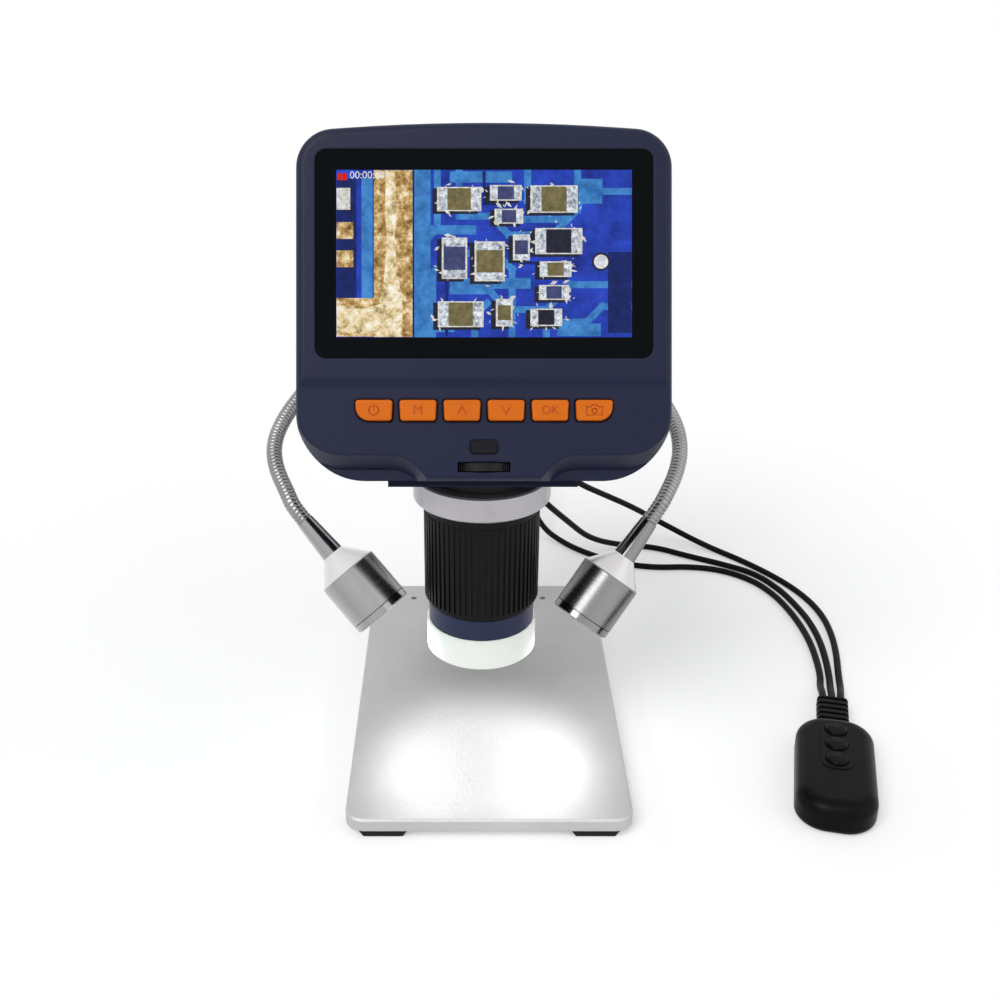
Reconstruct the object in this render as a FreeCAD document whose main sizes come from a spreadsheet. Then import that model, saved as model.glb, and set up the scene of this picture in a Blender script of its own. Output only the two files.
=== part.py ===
import FreeCAD, Part
import math
import os
import re

import Sketcher
from FreeCAD import Placement, Rotation, Vector

# Digital microscope with a built-in screen, on a metal stand with two gooseneck lamps.
# Origin: on the table, under the middle of the head and half-way along the base plate. +Z up,
# +Y to the back, +X to the right as the user sees the screen. Millimetres throughout.

SIZES = {
    # base plate and its feet
    "plate_wide": 105.0, "plate_deep": 175.0, "plate_thick": 5.0, "plate_corner": 7.0,
    "plate_edge_break": 0.8, "plate_shift": 2.7, "foot_tall": 3.4, "foot_wide": 19.0,
    "foot_corner": 3.0, "foot_taper": 2.3, "foot_inset_side": 4.3, "foot_inset_end": 1.0,
    "spare_hole_radius": 1.35, "spare_hole_apart": 61.0,
    "spare_hole_inset": 12.5,
    # column, rack and carriage
    "column_wide": 36.0, "column_deep": 18.0, "column_tall": 196.0, "column_middle": 68.0,
    "column_corner": 2.0, "screw_radius": 2.0, "screw_head_radius": 4.0, "screw_apart": 20.0,
    "screw_head_tall": 2.4, "screw_grip": 10.0, "rack_wide": 8.0, "rack_back": 2.0,
    "rack_low": 76.0, "rack_long": 116.0, "tooth_pitch": 3.1416, "tooth_deep": 2.2,
    "carriage_low": 96.0, "carriage_tall": 42.0, "carriage_wall": 6.0, "carriage_nose": 20.0,
    "rail_deep": 2.0, "rail_tall": 5.0, "slide_gap": 0.3, "shaft_radius": 2.5, "shaft_high": 118.0,
    "shaft_gap": 0.05, "pinion_teeth": 10.0, "pinion_wide": 7.0, "knob_radius": 13.0,
    "knob_long": 14.0, "knob_gap": 1.0, "knob_ribs": 24.0,
    # optical tube
    "tube_middle": 33.1, "barrel_radius": 21.0, "barrel_bore": 19.0, "barrel_core": 17.5,
    "core_bore": 16.0, "hood_low": 50.4, "hood_tall": 12.0, "hood_radius": 20.5,
    "hood_wall": 1.8, "nose_low": 60.9, "nose_tall": 9.6, "nose_radius": 19.7,
    "focus_low": 70.9, "focus_tall": 41.4, "focus_radius": 20.6, "focus_taper": 0.5,
    "rib_count": 60.0, "rib_deep": 0.7, "rib_wide": 1.1, "rib_low_gap": 2.0, "rib_top_gap": 4.0,
    "collar_low": 112.8, "collar_tall": 9.5, "collar_radius": 25.0, "collar_gap": 0.05,
    "arm_wide": 20.0, "cell_tall": 14.0, "cell_low": 76.0, "cell_gap": 0.06,
    "lens_radius": 6.0, "lens_thick": 4.0, "led_thick": 1.2, "led_bore": 9.0,
    "clamp_screw_radius": 2.0, "clamp_head_radius": 4.5, "clamp_head_long": 6.0,
    "clamp_reach": 5.5, "clamp_gap": 0.05, "clamp_turn": 45.0,
    # head with the screen; heights along the face are counted from the middle of the picture
    "head_tilt": 25.1, "screen_front": 50.7, "screen_high": 206.1, "face_half": 60.8,
    "face_top": 44.3, "face_shoulder": 40.1, "face_bottom": 73.0, "face_top_round": 12.5,
    "face_low_round": 22.0, "shell_front": 9.0, "shell_wall": 2.4, "face_edge_round": 3.2,
    "shell_back": 21.0, "room_deep": 5.0, "back_inset": 11.0, "glass_wide": 108.5, "glass_tall": 67.0,
    "glass_corner": 3.6, "glass_thick": 1.1, "glass_gap": 0.15, "glass_drop": 0.15,
    "panel_wide": 99.0, "panel_tall": 59.0, "panel_thick": 3.2, "board_thick": 1.6,
    "board_wide": 104.0, "board_deep": 5.6, "board_top": 34.0, "board_low": 58.0,
    "key_wide": 12.0, "key_tall": 6.7, "key_pitch": 14.15, "key_rise": 1.2, "key_sink": 4.4,
    "key_gap": 0.3, "key_line": 50.4, "key_round": 1.0, "key_big_round": 4.4,
    "ridge_drop": 6.0, "ridge_back": 11.0, "step_line": 41.4, "step_deep": 0.6, "step_run": 3.0,
    "window_wide": 8.7, "window_tall": 4.3, "window_line": 62.1, "window_deep": 2.0,
    "wheel_radius": 9.5, "wheel_thick": 2.6, "wheel_gap": 0.3, "wheel_line": 68.6,
    "wheel_rise": 0.5, "axle_radius": 1.0, "axle_long": 1.0, "axle_gap": 0.05,
    "slot_wide": 17.0, "slot_deep": 3.6, "socket_wide": 8.0, "socket_tall": 3.0, "socket_deep": 6.0,
    "socket_line": 12.0, "neck_wide": 65.0, "neck_low": 127.0, "neck_front": 58.0,
    "neck_back": 8.0, "neck_round": 7.0, "neck_top": 184.0,
    # gooseneck lamps
    "lamp_radius": 12.0, "lamp_body_long": 18.4, "bezel_long": 3.2, "lamp_cone_long": 8.6,
    "lamp_neck_radius": 4.45, "lamp_wall": 1.4, "lens_seat": 1.6, "stem_long": 16.5,
    "stem_low_radius": 4.45, "stem_top_radius": 3.4, "goose_radius": 3.15,
    "mount_wide": 44.0, "mount_tall": 22.0, "mount_deep": 12.0, "mount_low": 150.0,
    "nut_radius": 5.0, "nut_long": 6.0, "nut_gap": 0.3,
    # light controller and its cords
    "box_long": 60.0, "box_wide": 30.0, "box_tall": 13.0, "box_split": 5.5, "box_round": 12.0,
    "box_edge": 3.5, "box_x": 135.5, "box_front": 57.0, "box_turn": 13.3, "box_key_radius": 4.2,
    "box_key_pitch": 9.8, "box_key_rise": 1.0, "box_key_travel": 0.8, "box_key_gap": 0.3,
    "box_key_shift": 9.0, "relief_long": 20.0, "relief_wide": 12.5, "relief_tall": 7.0,
    "relief_ribs": 5.0, "relief_rib_deep": 0.9, "relief_high": 5.0, "cord_radius": 1.5,
    "cord_apart": 3.6, "coil_radius": 16.0, "coil_turns": 6.0, "coil_pitch": 3.5,
    "plug_wide": 15.0, "plug_tall": 7.5, "plug_long": 22.0, "plug_tip_wide": 12.0,
    "plug_tip_tall": 4.5, "plug_tip_long": 12.0,
}

doc = FreeCAD.newDocument("microscope")
sheet = doc.addObject("Spreadsheet::Sheet", "Sizes")
for row, (alias, value) in enumerate(SIZES.items(), start=1):
    sheet.set("A%d" % row, alias)
    sheet.set("B%d" % row, str(value))
    sheet.setAlias("B%d" % row, alias)
doc.recompute()

OUT = []


def bound(text):
    """Turn the plain size names in an expression into references to the sheet."""
    return re.sub(r"[a-z][a-z_0-9]*", lambda hit: "Sizes." + hit.group(0)
                  if hit.group(0) in SIZES else hit.group(0), str(text))


def val(text):
    """Value of an expression of size names, from the sheet."""
    found = sheet.evalExpression(bound(text))
    return float(getattr(found, "Value", found))


def keep(obj, place=None):
    """Register an object as a sub-part and put it in its place."""
    if place is not None:
        obj.Placement = place
    OUT.append(obj)
    return obj


def new_body(label):
    body = doc.addObject("PartDesign::Body", label)
    body.Label = label
    return body


def plane(body, role):
    return [item for item in body.Origin.OriginFeatures if item.Role == role][0]


def profile(body, role, corners, lift="0"):
    """Closed sketch through corners given as pairs of expressions."""
    sketch = body.newObject("Sketcher::SketchObject", body.Label + "_sketch")
    sketch.AttachmentSupport = [(plane(body, role), "")]
    sketch.MapMode = "FlatFace"
    if lift != "0":
        sketch.setExpression("AttachmentOffset.Base.z", bound(lift))
    points = [Vector(val(across), val(up), 0) for across, up in corners]
    count = len(points)
    for index in range(count):
        sketch.addGeometry(Part.LineSegment(points[index], points[(index + 1) % count]), False)
    for index in range(count):
        sketch.addConstraint(Sketcher.Constraint("Coincident", index, 2, (index + 1) % count, 1))
    for index, (across, up) in enumerate(corners):
        for kind, text, number in (("DistanceX", across, points[index].x),
                                   ("DistanceY", up, points[index].y)):
            spot = sketch.addConstraint(Sketcher.Constraint(kind, -1, 1, index, 1, number))
            sketch.setExpression("Constraints[%d]" % spot, bound(text))
    return sketch


def circle_sketch(body, role, across, up, radius, lift="0"):
    """Sketch of one circle, its centre and radius bound to expressions."""
    sketch = body.newObject("Sketcher::SketchObject", body.Label + "_round")
    sketch.AttachmentSupport = [(plane(body, role), "")]
    sketch.MapMode = "FlatFace"
    if lift != "0":
        sketch.setExpression("AttachmentOffset.Base.z", bound(lift))
    middle = Vector(val(across), val(up), 0)
    sketch.addGeometry(Part.Circle(middle, Vector(0, 0, 1), val(radius)), False)
    for kind, text, number in (("DistanceX", across, middle.x), ("DistanceY", up, middle.y)):
        spot = sketch.addConstraint(Sketcher.Constraint(kind, -1, 1, 0, 3, number))
        sketch.setExpression("Constraints[%d]" % spot, bound(text))
    spot = sketch.addConstraint(Sketcher.Constraint("Radius", 0, val(radius)))
    sketch.setExpression("Constraints[%d]" % spot, bound(radius))
    return sketch


def turned(label, corners, place=None):
    """Solid of revolution about its own Z axis from (radius, height) pairs."""
    body = new_body(label)
    sketch = profile(body, "XZ_Plane", corners)
    feature = body.newObject("PartDesign::Revolution", label + "_turn")
    feature.Profile = sketch
    feature.ReferenceAxis = (sketch, ["V_Axis"])
    feature.Angle = 360
    body.Tip = feature
    return keep(body, place)


def pad(body, sketch, length, backwards=False):
    feature = body.newObject("PartDesign::Pad", body.Label + "_pad")
    feature.Profile = sketch
    feature.setExpression("Length", bound(length))
    feature.Reversed = backwards
    body.Tip = feature
    return feature


def pocket(body, sketch, length, backwards=False):
    """Cut; the volume has to drop, so a cut that points away is caught."""
    doc.recompute()
    before = body.Tip.Shape.Volume
    feature = body.newObject("PartDesign::Pocket", body.Label + "_cut")
    feature.Profile = sketch
    feature.setExpression("Length", bound(length))
    feature.Reversed = backwards
    body.Tip = feature
    doc.recompute()
    if feature.Shape.Volume > before - 0.01:
        raise RuntimeError("cut removes nothing on " + body.Label)
    return feature


def rounded(body, radius, pick, kind="PartDesign::Fillet"):
    """Fillet or chamfer on the edges of the tip that pick(edge) accepts."""
    doc.recompute()
    base = body.Tip
    names = ["Edge%d" % (index + 1) for index, edge in enumerate(base.Shape.Edges) if pick(edge)]
    feature = body.newObject(kind, body.Label + "_edge")
    feature.Base = (base, names)
    feature.setExpression("Radius" if kind.endswith("Fillet") else "Size", bound(radius))
    body.Tip = feature
    return feature


def box_corners(wide, deep, middle_x="0", middle_y="0"):
    """Four corners of a rectangle round a middle point."""
    left, right = "%s - (%s) / 2" % (middle_x, wide), "%s + (%s) / 2" % (middle_x, wide)
    low, high = "%s - (%s) / 2" % (middle_y, deep), "%s + (%s) / 2" % (middle_y, deep)
    return [(left, low), (right, low), (right, high), (left, high)]


def upright(edge):
    return edge.BoundBox.XLength < 1e-4 and edge.BoundBox.YLength < 1e-4


def flat_at(level):
    return lambda edge: edge.BoundBox.ZLength < 1e-4 and abs(edge.BoundBox.ZMin - level) < 1e-3


def shaped(label, shape, place=None):
    """Sub-part whose form is lofted, swept or cut with lofts."""
    feature = doc.addObject("Part::Feature", label)
    feature.Label = label
    feature.Shape = shape
    return keep(feature, place)


def arc_path(corners, radii=None, closed=False, share=0.45):
    """Edges of straight runs joined by tangent arcs. Without radii, each arc is as large as
    share of the shorter run beside it allows."""
    count = len(corners)
    spots = range(count) if closed else range(1, count - 1)
    cuts = {}
    least = None
    for index in spots:
        here = corners[index]
        before = corners[index - 1] - here
        after = corners[(index + 1) % count] - here
        turn = math.pi - before.getAngle(after)
        if turn < 1e-5:
            continue
        if radii is None:
            reach = share * min(before.Length, after.Length)
        else:
            reach = radii[index] * math.tan(turn / 2)
        radius = reach / math.tan(turn / 2)
        least = radius if least is None else min(least, radius)
        start = here + Vector(before).normalize() * reach
        end = here + Vector(after).normalize() * reach
        inward = (Vector(before).normalize() + Vector(after).normalize()).normalize()
        middle = here + inward * (math.hypot(radius, reach) - radius)
        cuts[index] = (start, middle, end)
    edges = []
    last = None
    for index in range(count):
        start = cuts[index][0] if index in cuts else corners[index]
        if last is not None and (start - last).Length > 1e-6:
            edges.append(Part.LineSegment(last, start).toShape())
        if index in cuts:
            edges.append(Part.Arc(*cuts[index]).toShape())
        last = cuts[index][2] if index in cuts else corners[index]
    if closed:
        first = cuts[0][0] if 0 in cuts else corners[0]
        if (first - last).Length > 1e-6:
            edges.append(Part.LineSegment(last, first).toShape())
    return edges, least


def rounded_face(corners, level=0.0):
    """Face of a polygon with rounded corners from (x, y, radius) triples."""
    points = [Vector(x, y, level) for x, y, radius in corners]
    edges, least = arc_path(points, [radius for x, y, radius in corners], closed=True)
    return Part.Face(Part.Wire(edges))


def rounded_wire(corners, level=0.0):
    return rounded_face(corners, level).OuterWire


def block_face(wide, tall, radius, middle_x=0.0, middle_y=0.0):
    return [(middle_x - wide / 2, middle_y - tall / 2, radius),
            (middle_x + wide / 2, middle_y - tall / 2, radius),
            (middle_x + wide / 2, middle_y + tall / 2, radius),
            (middle_x - wide / 2, middle_y + tall / 2, radius)]


def slab(corners, low, high):
    """Prism between two levels over a polygon with rounded corners."""
    return rounded_face(corners, low).extrude(Vector(0, 0, high - low))


def tube(label, corners, radius):
    """Round tube along straight runs joined by tangent arcs."""
    edges, least = arc_path(corners)
    path = Part.Wire(edges)
    start = (corners[1] - corners[0]).normalize()
    ring = Part.Wire([Part.Circle(corners[0], start, radius).toShape()])
    solid = path.makePipeShell([ring], True, False)
    ideal = path.Length * math.pi * radius * radius
    print("%s: length %.1f, least radius %.1f, volume ratio %.4f"
          % (label, path.Length, least, solid.Volume / ideal))
    return solid


plate_top = "foot_tall + plate_thick"


def base():
    """Sandblasted plate on four rubber feet, with two spare threaded holes at the back."""
    body = new_body("base_plate")
    outline = box_corners("plate_wide", "plate_deep", "plate_shift")
    pad(body, profile(body, "XY_Plane", outline, "foot_tall"), "plate_thick")
    rounded(body, "plate_corner", upright)
    rounded(body, "plate_edge_break", flat_at(val(plate_top)), "PartDesign::Chamfer")
    for side in ("-", ""):
        pocket(body, circle_sketch(body, "XY_Plane", side + "spare_hole_apart / 2",
               "plate_deep / 2 - spare_hole_inset", "spare_hole_radius", plate_top),
               "plate_thick")
        pocket(body, circle_sketch(body, "XY_Plane", side + "screw_apart / 2", "column_middle",
               "screw_radius", plate_top), "plate_thick")
        pocket(body, circle_sketch(body, "XY_Plane", side + "screw_apart / 2", "column_middle",
               "screw_head_radius", "foot_tall + screw_head_tall"), "screw_head_tall")
    keep(body)
    wide, small = val("foot_wide"), val("foot_wide - 2 * foot_taper")
    low = rounded_wire(block_face(small, small, val("foot_corner") * small / wide))
    high = rounded_wire(block_face(wide, wide, val("foot_corner")), val("foot_tall"))
    for across, side in (("left", -1), ("right", 1)):
        for along, end in (("front", -1), ("rear", 1)):
            spot = Vector(side * val("(plate_wide - foot_wide) / 2 - foot_inset_side")
                          + val("plate_shift"),
                          end * val("(plate_deep - foot_wide) / 2 - foot_inset_end"), 0)
            shaped("foot_%s_%s" % (along, across), Part.makeLoft([low, high], True, True),
                   Placement(spot, Rotation()))
        turned("column_screw_" + across,
               [("0", "0"), ("screw_head_radius - 0.4", "0"),
                ("screw_head_radius - 0.4", "screw_head_tall"),
                ("screw_radius", "screw_head_tall"),
                ("screw_radius", "plate_thick + screw_grip"), ("0", "plate_thick + screw_grip")],
               Placement(Vector(side * val("screw_apart / 2"), val("column_middle"),
                                val("foot_tall")), Rotation()))


def column():
    """Square column bolted to the plate, a toothed rack down its front."""
    body = new_body("column")
    pad(body, profile(body, "XY_Plane",
        box_corners("column_wide", "column_deep", "0", "column_middle"), plate_top),
        "column_tall")
    rounded(body, "column_corner", upright)
    for side in ("-", ""):
        pocket(body, circle_sketch(body, "XY_Plane", side + "screw_apart / 2", "column_middle",
               "screw_radius", plate_top), "screw_grip", True)
    for side in ("-", ""):
        groove = profile(body, "XY_Plane", box_corners("rail_deep * 2", "rail_tall",
                         side + "column_wide / 2", "column_middle"), plate_top)
        pocket(body, groove, "column_tall", True)
    keep(body)
    face = val("column_middle - column_deep / 2")
    pitch, deep = val("tooth_pitch"), val("tooth_deep")
    low, high = val("rack_low"), val("rack_low + rack_long")
    root = face - val("rack_back")
    level = val("shaft_high") + pitch / 2
    level -= pitch * math.floor((level - low) / pitch)
    corners = [Vector(0, face, low), Vector(0, root, low)]
    while level + pitch / 2 < high:
        for step, out in ((-0.38, 0), (-0.16, deep), (0.16, deep), (0.38, 0)):
            if level + step * pitch > low + 0.2:
                corners.append(Vector(0, root - out, level + step * pitch))
        level += pitch
    corners += [Vector(0, root, high), Vector(0, face, high)]
    outline = Part.makePolygon(corners + corners[:1])
    shape = Part.Face(outline).extrude(Vector(val("rack_wide"), 0, 0))
    shaped("rack", shape, Placement(Vector(-val("rack_wide / 2"), 0, 0), Rotation()))


def pinion_middle():
    """Distance of the pinion shaft behind the origin, in mesh with the rack."""
    root = val("column_middle - column_deep / 2 - rack_back")
    return root - val("pinion_teeth * tooth_pitch") / (2 * math.pi) - val("tooth_deep") / 2


def carriage():
    """Block that runs on the column, with the pinion shaft and its two knobs."""
    wide = val("column_wide") / 2 + val("slide_gap")
    back = val("column_middle + column_deep / 2") - 2
    face = val("column_middle - column_deep / 2 - slide_gap")
    wall = val("carriage_wall")
    low, tall = val("carriage_low"), val("carriage_tall")
    front = pinion_middle() - val("carriage_nose") / 2
    outer = slab([(-wide - wall, front, 3), (wide + wall, front, 3),
                  (wide + wall, back, 1), (-wide - wall, back, 1)], low, low + tall)
    channel = Part.makeBox(2 * wide, back - face + 5, tall + 2, Vector(-wide, face, low - 1))
    gap = val("slide_gap")
    rail = val("rail_tall") - 2 * gap
    for side in (-1, 1):
        channel = channel.cut(Part.makeBox(val("rail_deep"), rail, tall + 4,
                              Vector(side * (wide - val("rail_deep") / 2)
                                     - val("rail_deep") / 2,
                                     val("column_middle") - rail / 2, low - 2)))
    half = val("rack_wide") / 2 + gap
    trough = Part.makeBox(2 * half, face - pinion_middle() + val("shaft_radius"), tall + 2,
                          Vector(-half, pinion_middle() - val("shaft_radius"), low - 1))
    tip = val("pinion_teeth * tooth_pitch") / (2 * math.pi) + val("tooth_deep") / 2 + 0.5
    gear_room = Part.makeCylinder(tip, 2 * half, Vector(-half, pinion_middle(),
                                  val("shaft_high")), Vector(1, 0, 0))
    bore = Part.makeCylinder(val("shaft_radius + shaft_gap"), 200,
                             Vector(-100, pinion_middle(), val("shaft_high")), Vector(1, 0, 0))
    shape = outer.cut(channel).cut(trough).cut(gear_room).cut(bore).removeSplitter()
    shaped("carriage", shape)
    pitch_radius = val("pinion_teeth * tooth_pitch") / (2 * math.pi)
    out_radius = pitch_radius + val("tooth_deep") / 2 - 0.3
    root_radius = pitch_radius - val("tooth_deep") / 2 - 0.15
    count = int(round(val("pinion_teeth")))
    step = 2 * math.pi / count
    ring = []
    for tooth in range(count):
        for turn, radius in ((-0.25, root_radius), (-0.1, out_radius), (0.1, out_radius),
                             (0.25, root_radius)):
            angle = (tooth + turn) * step
            ring.append(Vector(0, radius * math.cos(angle), radius * math.sin(angle)))
    gear = Part.Face(Part.makePolygon(ring + ring[:1])).extrude(Vector(val("pinion_wide"), 0, 0))
    gear.translate(Vector(-val("pinion_wide") / 2, 0, 0))
    knob_start = wide + wall + val("knob_gap")
    reach = knob_start + val("knob_long") - 4
    shaft = Part.makeCylinder(val("shaft_radius"), 2 * reach, Vector(-reach, 0, 0),
                              Vector(1, 0, 0))
    place = Placement(Vector(0, pinion_middle(), val("shaft_high")), Rotation())
    shaped("pinion_shaft", shaft.fuse(gear).removeSplitter(), place)
    for label, side in (("knob_left", -1), ("knob_right", 1)):
        radius, long = val("knob_radius"), val("knob_long")
        knob = Part.makeCylinder(radius, long)
        knob = knob.makeFillet(1.5, [edge for edge in knob.Edges
                                     if edge.BoundBox.ZLength < 1e-4
                                     and edge.BoundBox.ZMin > long / 2])
        ribs = int(round(val("knob_ribs")))
        for index in range(ribs):
            angle = 2 * math.pi * index / ribs
            groove = Part.makeCylinder(0.9, long + 2, Vector((radius + 0.3) * math.cos(angle),
                                       (radius + 0.3) * math.sin(angle), -1))
            knob = knob.cut(groove)
        knob = knob.cut(Part.makeCylinder(val("shaft_radius"), long - 4, Vector(0, 0, 0)))
        turn = Rotation(Vector(0, 1, 0), 90 * side)
        shaped(label, knob, Placement(Vector(side * knob_start, pinion_middle(),
                                             val("shaft_high")), turn))


def optics():
    """Tube, turning focus ring, lens cell, nose ring, ring light and clear hood."""
    place = Placement(Vector(0, -val("tube_middle"), 0), Rotation())
    barrel_top = "neck_low + 7"
    turned("barrel", [("barrel_core", "nose_low + nose_tall"),
                      ("barrel_core", "collar_low"),
                      ("barrel_radius", "collar_low"), ("barrel_radius", barrel_top),
                      ("barrel_bore", barrel_top), ("barrel_bore", "collar_low + 4"),
                      ("core_bore", "collar_low + 4"), ("core_bore", "nose_low + nose_tall")],
           place)
    top = "focus_low + focus_tall"
    inner = "barrel_core + shaft_gap"
    body = new_body("focus_ring")
    sketch = profile(body, "XZ_Plane",
                     [(inner, "focus_low"), ("focus_radius - 0.6", "focus_low"),
                      ("focus_radius", "focus_low + 0.6"),
                      ("focus_radius + focus_taper", top + " - 0.6"),
                      ("focus_radius + focus_taper - 0.6", top), (inner, top)])
    feature = body.newObject("PartDesign::Revolution", "focus_ring_turn")
    feature.Profile = sketch
    feature.ReferenceAxis = (sketch, ["V_Axis"])
    feature.Angle = 360
    body.Tip = feature
    rib = profile(body, "XY_Plane", box_corners("rib_wide", "rib_deep * 2", "0", "focus_radius"),
                  "focus_low + rib_low_gap")
    pad(body, rib, "focus_tall - rib_low_gap - rib_top_gap")
    doc.recompute()
    ribs = body.newObject("PartDesign::PolarPattern", "focus_ring_ribs")
    ribs.Originals = [body.Tip]
    ribs.Axis = (rib, ["N_Axis"])
    ribs.Angle = 360
    ribs.setExpression("Occurrences", bound("rib_count"))
    body.Tip = ribs
    keep(body, place)
    cell = "core_bore - cell_gap"
    turned("lens_cell", [("lens_radius", "cell_low"), (cell, "cell_low"),
                         (cell, "cell_low + cell_tall"),
                         (cell + " - 2", "cell_low + cell_tall"),
                         (cell + " - 2", "cell_low + lens_thick"),
                         ("lens_radius", "cell_low + lens_thick")], place)
    turned("objective_lens", [("0", "cell_low + 0.8"), ("lens_radius - 0.02", "cell_low + 1.2"),
                              ("lens_radius - 0.02", "cell_low + lens_thick - 0.8"),
                              ("0", "cell_low + lens_thick + 0.2")], place)
    nose_top = "nose_low + nose_tall"
    hood_in = "hood_radius - hood_wall"
    turned("nose_ring", [("core_bore", "nose_low + 1.2"), ("led_bore + 6", "nose_low + 1.2"),
                         ("led_bore + 6", "nose_low"), (hood_in + " - 0.05", "nose_low"),
                         (hood_in + " - 0.05", "hood_low + hood_tall"),
                         ("nose_radius", "hood_low + hood_tall"), ("nose_radius", nose_top),
                         ("core_bore", nose_top)], place)
    turned("led_ring", [("led_bore", "nose_low - led_thick"),
                        (hood_in + " - 0.3", "nose_low - led_thick"),
                        (hood_in + " - 0.3", "nose_low"), ("led_bore", "nose_low")], place)
    turned("hood", [(hood_in, "hood_low"), ("hood_radius - 0.5", "hood_low"),
                    ("hood_radius", "hood_low + 0.5"), ("hood_radius", "hood_low + hood_tall"),
                    (hood_in, "hood_low + hood_tall")], place)
    bore = val("barrel_radius + collar_gap")
    low, tall = val("collar_low"), val("collar_tall")
    ring = Part.makeCylinder(val("collar_radius"), tall, Vector(0, 0, low))
    ring = ring.makeChamfer(0.6, [edge for edge in ring.Edges if edge.Length > 50
                                  and edge.BoundBox.ZLength < 1e-4])
    reach = pinion_middle() - val("carriage_nose") / 2 + val("tube_middle")
    half = val("arm_wide") / 2
    arm = slab([(-half, 0, 0.5), (half, 0, 0.5), (half, reach, 0.5), (-half, reach, 0.5)],
               low, low + tall)
    collar = ring.fuse(arm).cut(Part.makeCylinder(bore, tall + 2, Vector(0, 0, low - 1)))
    turn = math.radians(val("clamp_turn"))
    away = Vector(math.cos(turn), math.sin(turn), 0)
    middle = Vector(0, 0, low + tall / 2)
    hole = Part.makeCylinder(val("clamp_screw_radius + clamp_gap"), 20,
                             middle + away * (bore - 1), away)
    shaped("collar", collar.cut(hole).removeSplitter(), place)
    screw = [("0", "0"), ("clamp_screw_radius", "0"), ("clamp_screw_radius", "clamp_reach"),
             ("clamp_head_radius", "clamp_reach"),
             ("clamp_head_radius", "clamp_reach + clamp_head_long"),
             ("0", "clamp_reach + clamp_head_long")]
    tip = middle + away * (val("barrel_radius") + 0.4) - Vector(0, val("tube_middle"), 0)
    turned("collar_screw", screw, Placement(tip, Rotation(Vector(0, 0, 1), away)))


def head_place():
    """Frame of the tilted face: x to the right, y up along the face, z out of it."""
    return Placement(Vector(0, -val("screen_front"), val("screen_high")),
                     Rotation(Vector(1, 0, 0), 90 - val("head_tilt")))


def face_outline(inset=0.0):
    """Front outline of the head: arched top, large lower corners."""
    half = val("face_half") - inset
    top, shoulder = val("face_top") - inset, val("face_shoulder") - inset
    low = -val("face_bottom") + inset
    small = max(val("face_top_round") - inset, 1.5)
    large = max(val("face_low_round") - inset, 3.0)
    arch = 0.72 * half * half / (top - shoulder)
    return [(-half, low, large), (half, low, large), (half, shoulder, small),
            (0.0, top, arch), (-half, shoulder, small)]


RIDGE = [(-75.0, -40.0, 1.0), (-61.5, -40.0, 1.0), (-61.5, -64.4, 16.0),
         (-25.2, -64.4, 12.0), (-13.0, -77.6, 1.0)]


def ridge_cut():
    """Sloping cut below the ridge, which leaves the tongue with the dimmer wheel standing."""
    rings = []
    for level, drop in ((0.6, -0.4), (-val("ridge_back"), val("ridge_drop"))):
        left = [(x, y - drop, radius) for x, y, radius in RIDGE]
        right = [(-x, y, radius) for x, y, radius in reversed(left)]
        low = [(75.0, -95.0, 1.0), (-75.0, -95.0, 1.0)]
        rings.append(rounded_wire(left + right + low, level))
    return Part.makeLoft(rings, True, True)


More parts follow.
